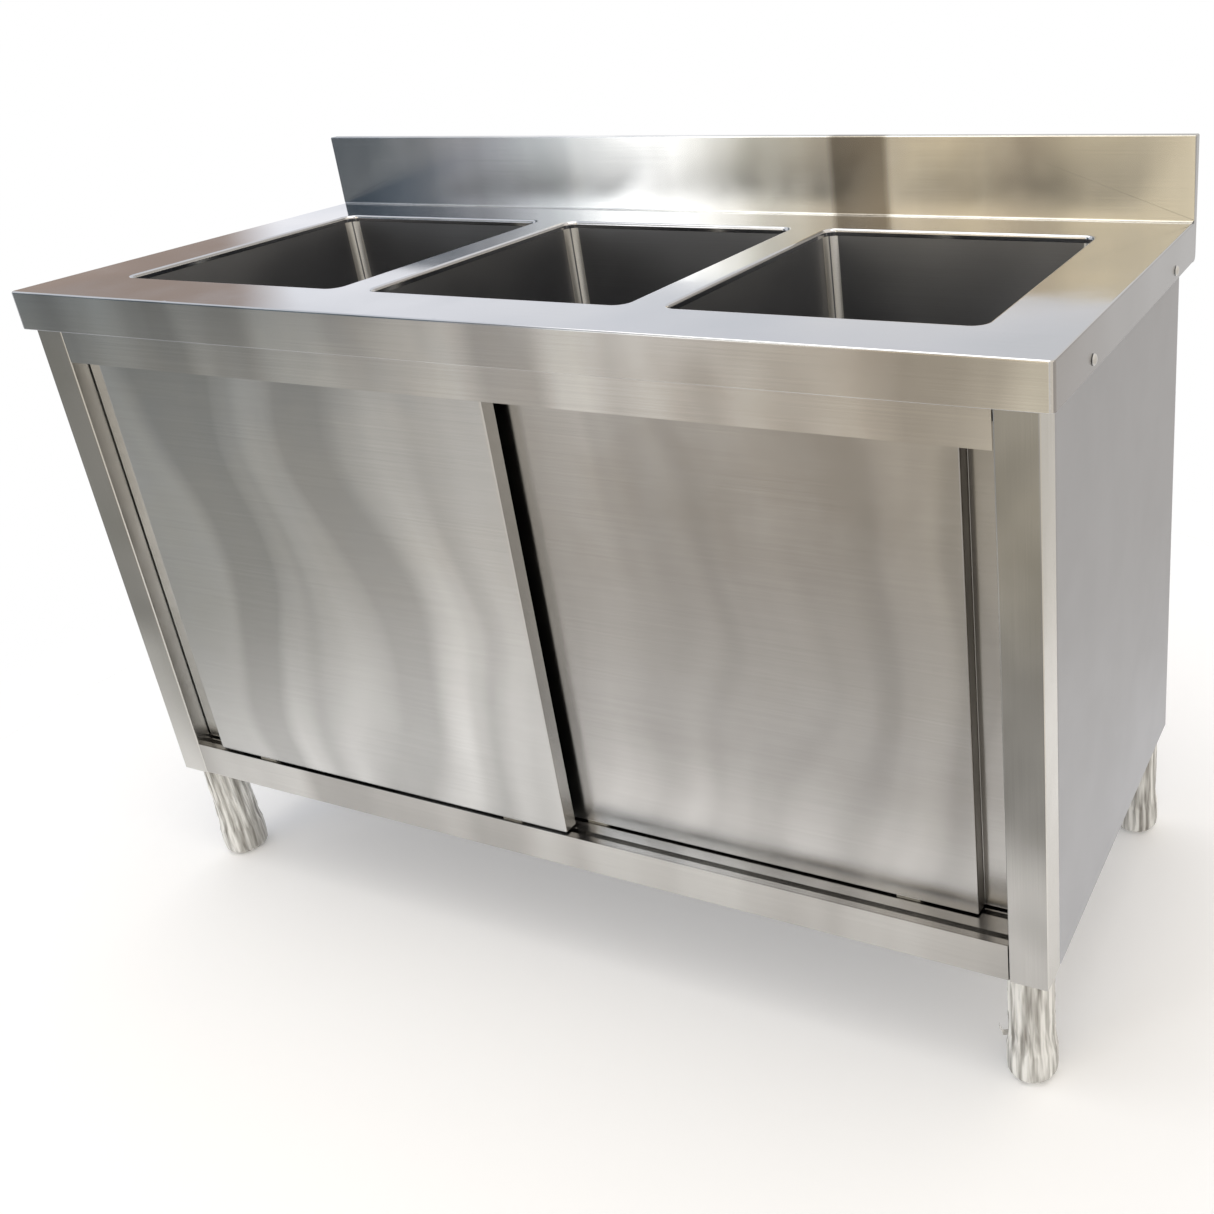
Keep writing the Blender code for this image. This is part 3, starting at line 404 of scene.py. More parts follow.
steel = {
    # bright cold-rolled sheet: nearly a mirror
    "deck": brushedStainless("brightStainlessDeck", {
        "colour": "#d6d6d8", "dark": "#cecfd1", "light": "#dedddd", "roughness": 0.1, "anisotropy": 0.35,
        "tangent": "Y",
        "swell": (4, 5, 5), "swellDepth": 0.0003, "bump": 0.06, "grainDepth": 0.04, "roughnessDepth": 0.025,
    }),
    # painted reflection: on a very bright base, the ramp along x lays the light and dark upright bands of
    # the mirrored room into the upstand's colour
    "upstand": brushedStainless("brightStainlessUpstand", {
        "colour": "#f6f6f4", "dark": "#eeeeec", "light": "#fcfcfa", "roughness": 0.2, "anisotropy": 1.0,
        "swell": (14, 6, 1), "swellDepth": 0.00012, "bump": 0.03, "grainDepth": 0.08,
        "rampAxis": "x", "rampSpan": (-0.7, 0.7), "wobble": 0.0,
        "ramp": ((0.0, "#b4b8be"), (0.2, "#dddddd"), (0.4, "#ffffff"), (0.64, "#f0eee8"), (0.65, "#a8a298"),
                 (0.7, "#a8a298"), (0.71, "#f2f0ea"), (0.8, "#e4e0d8"), (1.0, "#c8c5be")),
    }),
    "apron": brushedStainless("brushedStainlessApron", {
        "colour": "#cfcdca", "dark": "#b9b7b4", "light": "#e0dfdc", "roughness": 0.2,
        "swell": (9, 5, 2), "swellDepth": 0.0004, "bump": 0.25, "bend": (0.6, 0, 0),
    }),
    # painted shade: a darker copy of the apron steel for the end faces, lighter towards the back
    "apronEnd": brushedStainless("brushedStainlessApronEnd", {
        "colour": "#b4b6b9", "dark": "#acaeb1", "light": "#babcc0", "roughness": 0.24,
        "swell": (4, 4, 4), "swellDepth": 0.0004,
        "rampAxis": "y", "rampSpan": (-0.3, 0.3),
        "ramp": ((0.0, "#e4e0dc"), (0.5, "#fbfafa"), (1.0, "#ffffff")),
    }),
    # painted shade: the bowl steel is much darker than the deck's, standing in for the shade and dark
    # reflections inside the bowls; its satin finish is the higher roughness
    "bowl": brushedStainless("satinStainlessBowlPaintedShade", {
        "colour": "#9c9da0", "dark": "#929396", "light": "#a6a7a9", "roughness": 0.34,
        "roughnessDepth": 0.015, "swell": (3, 3, 3), "swellDepth": 0.0001, "anisotropy": 0.6, "bump": 0.1,
    }),
    # painted highlight: the ground corner welds of the bowls are painted near white, standing for the
    # bright streak they mirror
    "weldHighlight": brushedStainless("groundWeldPaintedHighlight", {
        "colour": "#f0eee8", "dark": "#e6e4de", "light": "#f6f4f0", "roughness": 0.55,
        "roughnessDepth": 0.06, "swell": (30, 30, 8), "swellDepth": 0.0003, "anisotropy": 0.9,
    }),
    # painted reflection and shade: the post steel is white near the bottom and darker higher up
    "post": brushedStainless("brushedStainlessPost", {
        "colour": "#cfcecb", "dark": "#c2c1bd", "light": "#d9d8d5", "roughness": 0.2, "grain": "z",
        "swell": (9, 9, 3), "swellDepth": 0.0004, "rampAxis": "z", "rampSpan": (0.2, 0.6), "wobble": 0.0,
        "ramp": ((0.0, "#ffffff"), (0.4, "#fbfbfa"), (0.6, "#cfcecc"), (1.0, "#c6c5c2")),
    }),
    # painted reflection and shade for the front right post alone: white at the bottom, darker at mid
    # height, lighter again towards the top
    "postRight": brushedStainless("brushedStainlessPostRight", {
        "colour": "#b9b8b6", "dark": "#aeadaa", "light": "#c3c2c0", "roughness": 0.2, "grain": "z",
        "swell": (12, 9, 9), "swellDepth": 0.0004, "rampAxis": "z", "rampSpan": (0.2, 0.83), "wobble": 0.0,
        "ramp": ((0.0, "#ffffff"), (0.12, "#fafafa"), (0.36, "#b8b8b6"), (0.55, "#c1c1bf"),
                 (0.75, "#e4e4e1"), (1.0, "#ededea")),
    }),
    # painted light: a lighter copy of the post steel for the posts' side faces
    "postSide": brushedStainless("brushedStainlessPostSide", {
        "colour": "#dddcd8", "dark": "#d3d2ce", "light": "#e6e5e2", "roughness": 0.24, "grain": "z",
        "swell": (9, 9, 3), "swellDepth": 0.0003,
    }),
    # painted shade: the rail steel darkens lower down, so the sill rail reads darker than the header
    "rail": brushedStainless("brushedStainlessRail", {
        "colour": "#d3d1ce", "dark": "#c0bebb", "light": "#e2e1de", "roughness": 0.2,
        "swell": (9, 5, 2), "swellDepth": 0.0004, "bend": (0.6, 0, 0),
        "rampAxis": "z", "rampSpan": (0.2, 0.8), "wobble": 0.0,
        "ramp": ((0.0, "#e9e9e9"), (1.0, "#ffffff")),
    }),
    # painted shade: a dark steel on the side walls inside the folds of the finger grips
    "grip": brushedStainless("gripWallPaintedShade", {
        "colour": "#837d74", "dark": "#777168", "light": "#8f8a82", "roughness": 0.36, "grain": "z",
        "anisotropy": 0.4, "swell": (30, 30, 3), "swellDepth": 0.0002,
    }),
    # painted reflection: the strong swell tone of the doors paints wavy upright reflection bands
    "doorLeft": brushedStainless("brushedStainlessDoorLeft", {
        "colour": "#cfcfce", "dark": "#bbbbba", "light": "#dfdfde", "roughness": 0.22, "anisotropy": 0.8,
        "swell": (10, 6, 0.6), "swellDepth": 0.0011, "bump": 0.3, "bend": (3.2, 0, 0),
    }),
    # painted reflection and shade on the right door: white at the bottom, darker up the middle, a little
    # lighter at the top
    "doorRight": brushedStainless("brushedStainlessDoorRight", {
        "colour": "#cfcecd", "dark": "#bdbcbb", "light": "#dddcdb", "roughness": 0.22, "anisotropy": 0.8,
        "swell": (10, 6, 0.6), "swellDepth": 0.0011, "bump": 0.3, "wobble": 0.0, "bend": (3.2, 0, 0),
        "rampAxis": "z", "rampSpan": (0.217, 0.815),
        "ramp": ((0.0, "#ffffff"), (0.3, "#d4d3d2"), (0.5, "#d0cfcd"), (1.0, "#e4e3e1")),
    }),
    # a side panel still under its dull protective film
    "panel": brushedStainless("filmedStainlessPanel", {
        "colour": "#babcc1", "dark": "#b5b7bc", "light": "#bfc1c6", "roughness": 0.5, "anisotropy": 0.0,
        "swell": (2, 2, 2), "swellDepth": 0.0002, "bump": 0.02, "grainDepth": 0.02,
    }),
    "leg": brushedStainless("polishedStainlessLeg", {
        "colour": "#cfcdc8", "dark": "#c2c0ba", "light": "#dad9d5", "roughness": 0.16, "grain": "z",
        "anisotropy": 0.5, "swell": (20, 20, 5), "swellDepth": 0.0002,
    }),
    "fitting": brushedStainless("polishedStainlessFitting", {
        "colour": "#d6d6d5", "dark": "#cdcdcc", "light": "#dfdfde", "roughness": 0.14, "anisotropy": 0.2,
        "swell": (30, 30, 30), "swellDepth": 0.0001, "bump": 0.1, "grainDepth": 0.04,
    }),
}
plastic = mouldedPlastic("polypropyleneWaste",
                         {"colour": "#d9dad8", "dark": "#cfd0ce", "roughness": 0.42, "ior": 1.49})
nylon = mouldedPlastic("mouldedNylon",
                       {"colour": "#e4e2da", "dark": "#dbd8cf", "roughness": 0.38, "ior": 1.53})
rubber = mouldedPlastic("pressedRubber",
                        {"colour": "#262626", "dark": "#1c1c1c", "roughness": 0.75, "ior": 1.52})
film = stretchFilm("polyethyleneFilm",
                   {"colour": "#f5f5f2", "dark": "#a5a29c", "roughness": 0.3, "thin": 0.55, "milky": 0.95})
print("materials ready")


# worktop: one sheet with a rolled rim round each bowl, an apron round the front and sides,
# and a box upstand along the back
worktop = {"gauge": 0.0015, "foldRadius": 0.0026, "cornerRadius": 0.006, "rimRadius": 0.0045,
           "collar": 0.009, "lip": 0.0065, "bowlCorner": 0.015, "bowlRim": 0.008, "upstandThickness": 0.015,
           "coveRadius": 0.003, "endRadius": 0.002, "backCornerRadius": 0.008, "hemRadius": 0.0012}


def bowlOpening(name):
    low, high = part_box(f"bowl_{name}")
    rim = Vector((worktop["bowlRim"], worktop["bowlRim"], 0))
    return low + rim, high - rim


def roundedWell(name, low, high, corner, segments=8):
    # a box with its four upright edges rounded
    well = addBox(name, low, high)
    pick(well, "EDGE", lambda edge: runs(edge, 2))
    bevelEdges(corner, segments)
    letGo()
    return well


def inOpening(point):
    return any(start.x - 1e-4 < point.x < stop.x + 1e-4 and start.y - 1e-4 < point.y < stop.y + 1e-4
               for start, stop in map(bowlOpening, bowlNames))


def makeWorktop():
    low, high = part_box("worktop")
    back = high.y - worktop["upstandThickness"]
    piece = addBox("worktopSheet", low, (high.x, high.y, deckHeight))
    # cuts through the middle of each bowl, so that no face has a hole in it later
    cuts = [((0, back, 0), (0, 1, 0))]
    for name in bowlNames:
        start, stop = bowlOpening(name)
        cuts.append(((start + stop) / 2, (1, 0, 0)))
    cuts.append(((start + stop) / 2, (0, 1, 0)))
    for spot, way in cuts:
        pick(piece, "FACE", lambda face: True)
        bpy.ops.mesh.bisect(plane_co=spot, plane_no=way)
    pick(piece, "FACE", lambda face: face.normal.z > 0.9 and middle(face).y > back)
    bpy.ops.mesh.extrude_region_move(TRANSFORM_OT_translate={"value": (0, 0, high.z - deckHeight)})
    pick(piece, "EDGE", lambda edge: runs(edge, 0) and near(middle(edge).y, high.y)
         and near(middle(edge).z, low.z))
    bevelEdges(worktop["backCornerRadius"], 5)
    pick(piece, "EDGE", lambda edge: runs(edge, 2) and middle(edge).y < low.y + 1e-4)
    bevelEdges(worktop["cornerRadius"], 6)
    letGo()
    for name in bowlNames:
        start, stop = bowlOpening(name)
        well = roundedWell("well", (start.x, start.y, deckHeight - worktop["collar"]),
                           (stop.x, stop.y, deckHeight + 0.05), worktop["bowlCorner"])
        cutAway(piece, well)
    pick(piece, "FACE", lambda face: face.normal.z > 0.9
         and near(middle(face).z, deckHeight - worktop["collar"]))
    bpy.ops.mesh.delete(type="FACE")
    pick(piece, "EDGE", lambda edge: near(edge.verts[0].co.z, deckHeight)
         and near(edge.verts[1].co.z, deckHeight)
         and inOpening(middle(edge)) and any(abs(face.normal.z) < 0.1 for face in edge.link_faces))
    bevelEdges(worktop["rimRadius"], 6)
    # folds along the apron, the foot and the top of the upstand, and the hem
    pick(piece, "EDGE", lambda edge: near(middle(edge).z, deckHeight) and sharp(edge)
         and not inOpening(middle(edge)) and middle(edge).y < back - 0.001)
    bevelEdges(worktop["foldRadius"], 4)
    pick(piece, "EDGE", lambda edge: near(middle(edge).z, deckHeight) and near(middle(edge).y, back)
         and sharp(edge))
    bevelEdges(worktop["coveRadius"], 4)
    pick(piece, "EDGE", lambda edge: near(middle(edge).z, high.z) and sharp(edge)
         or runs(edge, 2) and middle(edge).z > deckHeight + 0.01 and near(middle(edge).y, back, 0.001))
    bevelEdges(worktop["endRadius"], 4)
    pick(piece, "EDGE", lambda edge: near(middle(edge).z, low.z) and sharp(edge) and middle(edge).y < back)
    bevelEdges(worktop["hemRadius"], 3)
    # the underside is open inside a narrow lip
    pick(piece, "FACE", lambda face: face.normal.z < -0.9 and near(middle(face).z, low.z, 0.002)
         and face.calc_area() > 0.001)
    bpy.ops.mesh.inset(thickness=worktop["lip"])
    bpy.ops.mesh.delete(type="FACE")
    letGo()
    apply(piece, "SOLIDIFY", thickness=worktop["gauge"], offset=-1, use_even_offset=True)
    smooth(piece, 32)
    materials = [steel["deck"], steel["apron"], steel["upstand"], steel["apronEnd"], steel["panel"]]
    dress(piece, "sink", materials, "worktop_steel", "worktop")
    # the upstand and the apron ends take their own copies of the steel, which carry painted reflection and
    # shade
    for face in piece.data.polygons:
        centre, normal = face.center, face.normal
        if normal.y > 0.7 and centre.y > high.y - 0.01:
            face.material_index = 4
        elif centre.z > deckHeight + 0.0002:
            face.material_index = 2 if abs(normal.x) < 0.7 else 3
        elif abs(normal.z) < 0.7 and not inOpening(centre):
            face.material_index = 3 if abs(normal.x) > 0.7 else 1


makeWorktop()
print("worktop done")


# bowls: welded under the collars, with rounded corners and a floor that falls to its waste
bowl = {"gauge": 0.0012, "corner": 0.015, "fillet": 0.012, "fall": 0.004, "floorInset": 0.095,
        "drain": 0.043, "seam": 0.0001}


def makeBowls():
    first = None
    for name in bowlNames:
        start, stop = bowlOpening(name)
        low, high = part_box(f"bowl_{name}")
        floor = low.z + bowl["fall"] + bowl["gauge"]
        if first is None:
            top = deckHeight - worktop["collar"] - bowl["seam"]
            piece = roundedWell(f"bowlShell_{name}", (start.x, start.y, floor), (stop.x, stop.y, top),
                                bowl["corner"], 11)
            pick(piece, "FACE", lambda face: face.normal.z > 0.9)
            bpy.ops.mesh.delete(type="FACE")
            pick(piece, "EDGE", lambda edge: near(edge.verts[0].co.z, floor)
                 and near(edge.verts[1].co.z, floor))
            bevelEdges(bowl["fillet"], 7)
            pick(piece, "FACE", lambda face: face.normal.z < -0.99)
            bpy.ops.mesh.inset(thickness=bowl["floorInset"])
            bpy.ops.transform.translate(value=(0, 0, -bowl["fall"]))
            letGo()
            apply(piece, "SOLIDIFY", thickness=bowl["gauge"], offset=1, use_even_offset=True)
            centre = (start + stop) / 2
            spot = Vector((centre.x, centre.y, floor))
            depth = Vector((0, 0, 0.03))
            cutAway(piece, addRod("drainHole", bowl["drain"], spot - depth, spot + depth))
            faceOut(piece)
            first, firstX = piece, centre.x
        else:
            piece = copyPiece(first, f"bowlShell_{name}", ((start.x + stop.x) / 2 - firstX, 0, 0))
        smooth(piece, 30)
        dress(piece, "sink", [steel["bowl"], steel["weldHighlight"]], "bowl_steel", f"bowl_{name}")
        # painted highlight: the rounded corners of each bowl take the near-white corner steel
        for face in piece.data.polygons:
            sideways = min(face.center.x - start.x, stop.x - face.center.x)
            lengthways = min(face.center.y - start.y, stop.y - face.center.y)
            seam = abs(abs(face.normal.x) - abs(face.normal.y)) < 0.08  # the middle strip of each corner keeps the bowl steel, a darker line between the two painted highlight strips
            if max(sideways, lengthways) < bowl["corner"] and abs(face.normal.z) < 0.6 and not seam:
                face.material_index = 1


makeBowls()
print("bowls done")


# wastes: a flanged cup, its gasket and back nut, and the strainer that lifts out
waste = {"flange": 0.056, "cup": 0.042, "wall": 0.0015, "cupBottom": 0.601, "tail": 0.022, "nutLugs": 8}
strainer = {"gauge": 0.0008, "rim": 0.0399, "cup": 0.0352, "hole": 0.0021,
            "rings": ((6, 0.0075), (12, 0.015),
                      (18, 0.0225), (24, 0.0298)), "slots": 20, "knob": 0.008}


def makeWastes():
    first = None
    for name in bowlNames:
        low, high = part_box(f"waste_body_{name}")
        centre = ((low.x + high.x) / 2, (low.y + high.y) / 2, 0)
        gasketLow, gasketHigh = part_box(f"waste_gasket_{name}")
        nutLow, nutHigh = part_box(f"waste_nut_{name}")
        basketLow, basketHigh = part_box(f"strainer_basket_{name}")
        if first is None:
            firstX = centre[0]
            flange, cup, wall, tail = waste["flange"], waste["cup"], waste["wall"], waste["tail"]
            seat, top, bottom = gasketHigh.z + 0.0018, high.z, waste["cupBottom"]
            profile = [
                (flange - 0.001, seat), (flange, seat + 0.0008),
                *arc((flange - 0.004, seat + 0.0008), 0.004, 0, 60, 4)[1:],
                (cup - wall + 0.006, top), *arc((cup - wall + 0.003, top - 0.003), 0.003, 90, 180, 4),
                (cup - wall, bottom + 0.008), *arc((cup - wall - 0.006, bottom + 0.008), 0.0065, 0, -90, 4),
                (tail - wall + 0.001, bottom + wall), (tail - wall, bottom), (tail - wall, low.z),
                (tail, low.z), (tail, bottom - 0.001), (tail + 0.001, bottom), (cup - 0.006, bottom),
                (cup, bottom + 0.006), (cup, seat),
            ]
            body = turnPiece("wasteCup", centre, profile, 64, closed=True)
            ring = [(waste["flange"] - 0.012, gasketLow.z), (flange - 0.0006, gasketLow.z),
                    *arc((flange - 0.0015, (gasketLow.z + gasketHigh.z) / 2), 0.0015, -80, 80, 6),
                    (flange - 0.0006, gasketHigh.z), (flange - 0.012, gasketHigh.z)]
            gasket = turnPiece("wasteSeal", centre, ring, 64, closed=True)
            nutRadius = (nutHigh.x - nutLow.x) / 2
            ring = [(cup + 0.0004, nutLow.z), (nutRadius - 0.005, nutLow.z),
                    (nutRadius - 0.0035, nutLow.z + 0.0015),
                    (nutRadius - 0.0035, nutHigh.z - 0.003), (nutRadius - 0.001, nutHigh.z - 0.0025),
                    (nutRadius - 0.001, nutHigh.z), (cup + 0.0004, nutHigh.z)]
            nut = turnPiece("wasteNut", centre, ring, 64, closed=True)
            for lug in range(waste["nutLugs"]):
                turn = Matrix.Rotation(2 * math.pi * lug / waste["nutLugs"], 3, "Z")
                hub = Vector(centre)
                out = turn @ Vector((nutRadius - 0.0035, 0, 0))
                grip = addRod("lug", 0.0032, hub + out + Vector((0, 0, nutLow.z + 0.0004)),
                              hub + out + Vector((0, 0, nutHigh.z - 0.0028)), 12)
                cutAway(nut, grip, "UNION")
            smooth(nut, 30)
            basket = makeBasket(centre, basketLow, basketHigh)
            first = (body, gasket, nut, basket)
            pieces = first
        else:
            shift = (centre[0] - firstX, 0, 0)
            pieces = [copyPiece(piece, piece.name, shift) for piece in first]
        body, gasket, nut, basket = pieces
        for piece, stem in zip(pieces, ("wasteBody", "wasteGasket", "wasteNut", "strainerBasket")):
            piece.name = piece.data.name = f"{stem}_{name}"
        dress(body, "sink", steel["fitting"], "hardware_steel", f"waste_body_{name}")
        dress(gasket, "sink", rubber, "gasket_rubber", f"waste_gasket_{name}")
        dress(nut, "sink", plastic, "waste_plastic", f"waste_nut_{name}")
        dress(basket, f"strainer_basket_{name}", steel["fitting"], "hardware_steel",
              f"strainer_basket_{name}")


def makeBasket(centre, low, high):
    rim, cup, gauge = strainer["rim"], strainer["cup"], strainer["gauge"]
    top, floor = high.z - 0.0005, low.z
    outside = [(0.001, floor), (cup - 0.005, floor), *arc((cup - 0.005, floor + 0.005), 0.005, -80, 0, 5),
               (cup, top - 0.0035), (cup + 0.0012, top - 0.0018), (rim - 0.0008, top - 0.0012)]
    inside = [(rim, top - 0.0008), (rim - 0.0006, top), (cup + 0.0008, top - 0.0008),
              (cup - gauge, top - 0.003),
              (cup - gauge, floor + 0.005), *arc((cup - 0.005, floor + 0.005), 0.005 - gauge, 0, -80, 5),
              (0.001, floor + gauge)]
    piece = turnPiece("strainerCup", centre, outside + inside, 64)
    middleX, middleY = centre[:2]
    drills = []
    for count, radius in strainer["rings"]:
        for hole in range(count):
            angle = 2 * math.pi * hole / count
            spot = Vector((middleX + radius * math.cos(angle), middleY + radius * math.sin(angle), floor))
            drills.append(addRod("drill", strainer["hole"], spot - Vector((0, 0, 0.003)),
                                 spot + Vector((0, 0, 0.003)), 10))
    for level in (floor + 0.0095, floor + 0.0165):
        for hole in range(strainer["slots"]):
            angle = 2 * math.pi * (hole + 0.5 * (level > floor + 0.01)) / strainer["slots"]
            out = Vector((math.cos(angle), math.sin(angle), 0))
            hub = Vector((middleX, middleY, level))
            drills.append(addRod("drill", strainer["hole"], hub + out * (cup - 0.004),
                                 hub + out * (cup + 0.004), 10))
    letGo()
    for drill in drills:
        drill.select_set(True)
    bpy.context.view_layer.objects.active = drills[0]
    bpy.ops.object.join()
    cutAway(piece, drills[0])
    stalk, knob = 0.0027, strainer["knob"]
    profile = [(stalk + 0.003, floor + gauge), (stalk, floor + gauge + 0.003), (stalk, top - 0.007),
               (knob - 0.001, top - 0.0055), (knob, top - 0.004), (knob, top - 0.0022),
               *arc((knob - 0.0022, top - 0.0022), 0.0022, 0, 90, 4), (0.0005, top + 0.0004)]
    handle = turnPiece("strainerKnob", centre, profile, 32, solid=True)
    letGo()
    handle.select_set(True)
    piece.select_set(True)
    bpy.context.view_layer.objects.active = piece
    bpy.ops.object.join()
    return smooth(piece, 35)


makeWastes()
print("wastes done")


# drain pipework under the bowls
pipe = {"radius": 0.025, "axis": 0.535, "wall": 0.003, "socket": 0.0255,
        "spigot": 0.019, "outlet": 0.02, "outletZ": 0.4615, "ribs": 16}


def makePipes():
    low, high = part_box("drain_manifold")
    y = (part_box("waste_body_middle")[0].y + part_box("waste_body_middle")[1].y) / 2
    level, radius, wall = pipe["axis"], pipe["radius"], pipe["wall"]
    trapLow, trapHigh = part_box("trap_body")
    x = (trapLow.x + trapHigh.x) / 2
    # end caps a little domed
    half = high.x
    ends = [(0.002, -half), (radius - 0.006, -half), (radius - 0.001, -half + 0.0025),
            (radius, -half + 0.007)]
    manifold = turnPiece("drainManifold", (0, y, level), ends + [(r, -h) for r, h in reversed(ends)], 48,
                         axis="x")
    pick(manifold, "EDGE", lambda edge: len(edge.link_faces) == 1)
    bpy.ops.mesh.fill_holes(sides=0)
    letGo()
    socket = pipe["socket"]
    for name in bowlNames:
        wasteLow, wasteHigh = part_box(f"waste_body_{name}")
        centre = ((wasteLow.x + wasteHigh.x) / 2, y, 0)
        top = high.z
        profile = [(socket - 0.003, level), (socket - 0.003, top - 0.024), (socket - 0.0005, top - 0.022),
                   (socket - 0.0005, top - 0.006),
                   (socket, top - 0.005), (socket, top - 0.0008), (socket - 0.0008, top)]
        bore = waste["tail"] + 0.0004
        profile += [(bore, top), (bore, top - 0.03)]
        cutAway(manifold, turnPiece("socket", centre, profile, 48, solid=True), "UNION")
    r = pipe["spigot"]
    profile = [(r - 0.0005, level), (r - 0.0005, low.z + 0.002), (r - 0.0015, low.z + 0.0002)]
    spigot = turnPiece("spigot", (x, y, 0), profile, 40, solid=True)
    pick(spigot, "EDGE", lambda edge: len(edge.link_faces) == 1)
    bpy.ops.mesh.fill_holes(sides=0)
    letGo()
    cutAway(manifold, spigot, "UNION")
    dress(smooth(manifold, 30), "sink", plastic, "waste_plastic", "drain_manifold")
    # trap body with its side arm
    r = (trapHigh.x - trapLow.x) / 2
    top, bottom = trapHigh.z, trapLow.z
    neck = 0.0192
    profile = [(neck, top), (neck + 0.006, top), (neck + 0.006, top - 0.005), (r - 0.004, top - 0.006),
               (r - 0.001, top - 0.008),
               (r, top - 0.012), (r, bottom), (r - wall, bottom), (r - wall, top - 0.014),
               (neck, top - 0.012)]
    trap = turnPiece("trapBody", (x, y, 0), profile, 64, closed=True)
    arm = pipe["outlet"] + 0.0031
    armProfile = [(arm - 0.002, 0.030), (arm - 0.002, trapHigh.y - y - 0.016),
                  (arm, trapHigh.y - y - 0.0145), (arm, trapHigh.y - y - 0.0006),
                  (arm - 0.0006, trapHigh.y - y), (pipe["outlet"] + 0.0003, trapHigh.y - y),
                  (pipe["outlet"] + 0.0003, 0.030)]
    side = turnPiece("trapArm", (x, y, pipe["outletZ"]),
                     [(radius, -height) for radius, height in armProfile], 48, axis="y", closed=True)
    cutAway(trap, side, "UNION")
    dress(smooth(trap, 30), "sink", plastic, "waste_plastic", "trap_body")
    cupLow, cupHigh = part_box("trap_cup")
    outer = (cupHigh.x - cupLow.x) / 2
    profile = [(outer - 0.0005, cupHigh.z), (outer, cupHigh.z - 0.0006), (outer, cupHigh.z - 0.014),
               (outer - 0.002, cupHigh.z - 0.016),
               (outer - 0.002, cupLow.z + 0.012), *arc((outer - 0.012, cupLow.z + 0.010), 0.010, 0, -80, 6),
               (0.001, cupLow.z)]
    inner = [(0.001, cupLow.z + wall), (r - 0.014, cupLow.z + wall), (r - wall, cupLow.z + 0.012),
             (r - wall, bottom - 0.0004), (r + 0.0004, bottom - 0.0004), (r + 0.0004, cupHigh.z)]
    cup = turnPiece("trapCup", (x, y, 0), profile + inner, 64, closed=True)
    for rib in range(pipe["ribs"]):
        out = Matrix.Rotation(2 * math.pi * rib / pipe["ribs"], 3, "Z") @ Vector((outer - 0.0024, 0, 0))
        hub = Vector((x, y, 0)) + out
        cutAway(cup, addRod("rib", 0.0022, hub + Vector((0, 0, cupLow.z + 0.013)),
                            hub + Vector((0, 0, cupHigh.z - 0.0145)), 10), "UNION")
    dress(smooth(cup, 30), "sink", plastic, "waste_plastic", "trap_cup")
    outLow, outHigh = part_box("outlet_pipe")
    r = pipe["outlet"]
    profile = [(r - 0.001, outLow.y), (r, outLow.y + 0.001), (r, outHigh.y - 0.001), (r - 0.001, outHigh.y),
               (r - wall, outHigh.y), (r - wall, outLow.y)]
    outlet = turnPiece("outletPipe", (x, 0, pipe["outletZ"]),
                       [(radius, -height) for radius, height in profile], 48, axis="y", closed=True)
    dress(outlet, "sink", plastic, "waste_plastic", "outlet_pipe")


makePipes()
print("pipes done")


# doors: a folded front skin with a shallow tray behind it
door = {"skin": 0.001, "foldRadius": 0.0016, "grip": 0.045}


def makeDoor(name, side):
    low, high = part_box(f"door_{name}_outer")
    half = door["skin"] / 2
    outerEnd, innerEnd = (low.x, high.x) if side < 0 else (high.x, low.x)
    faceEnd = outerEnd - side * door["grip"] - side * half
    line = [(outerEnd, high.y - half), (faceEnd, high.y - half), (faceEnd, low.y + half),
            (innerEnd + side * half, low.y + half), (innerEnd + side * half, high.y - half)]
    skin = foldSheet(f"doorFront_{name}", line, low.z, high.z, "z", door["skin"], door["foldRadius"])
    dress(skin, f"door_{name}", [steel["doorLeft" if side < 0 else "doorRight"], steel["grip"]],
          "door_steel", f"door_{name}_outer")
    # painted shade: the side wall of the grip recess takes the dark grip steel
    for face in skin.data.polygons:
        face.material_index = int(abs(face.normal.x) > 0.5 and abs(face.center.x - faceEnd) < 0.004)
    low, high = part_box(f"door_{name}_inner")
    line = [(low.y, high.z - half), (high.y - half, high.z - half), (high.y - half, low.z + half),
            (low.y, low.z + half)]
    tray = foldSheet(f"doorTray_{name}", line, low.x, high.x, "x", door["skin"], door["foldRadius"])
    dress(tray, f"door_{name}", steel["rail"], "door_steel", f"door_{name}_inner")


hanger = {"plate": 0.0025, "corner": 0.005, "axle": 0.0029, "head": 0.0048}
roller = {"radius": 0.0115, "groove": 0.0095, "bore": 0.00305, "lip": 0.0004}


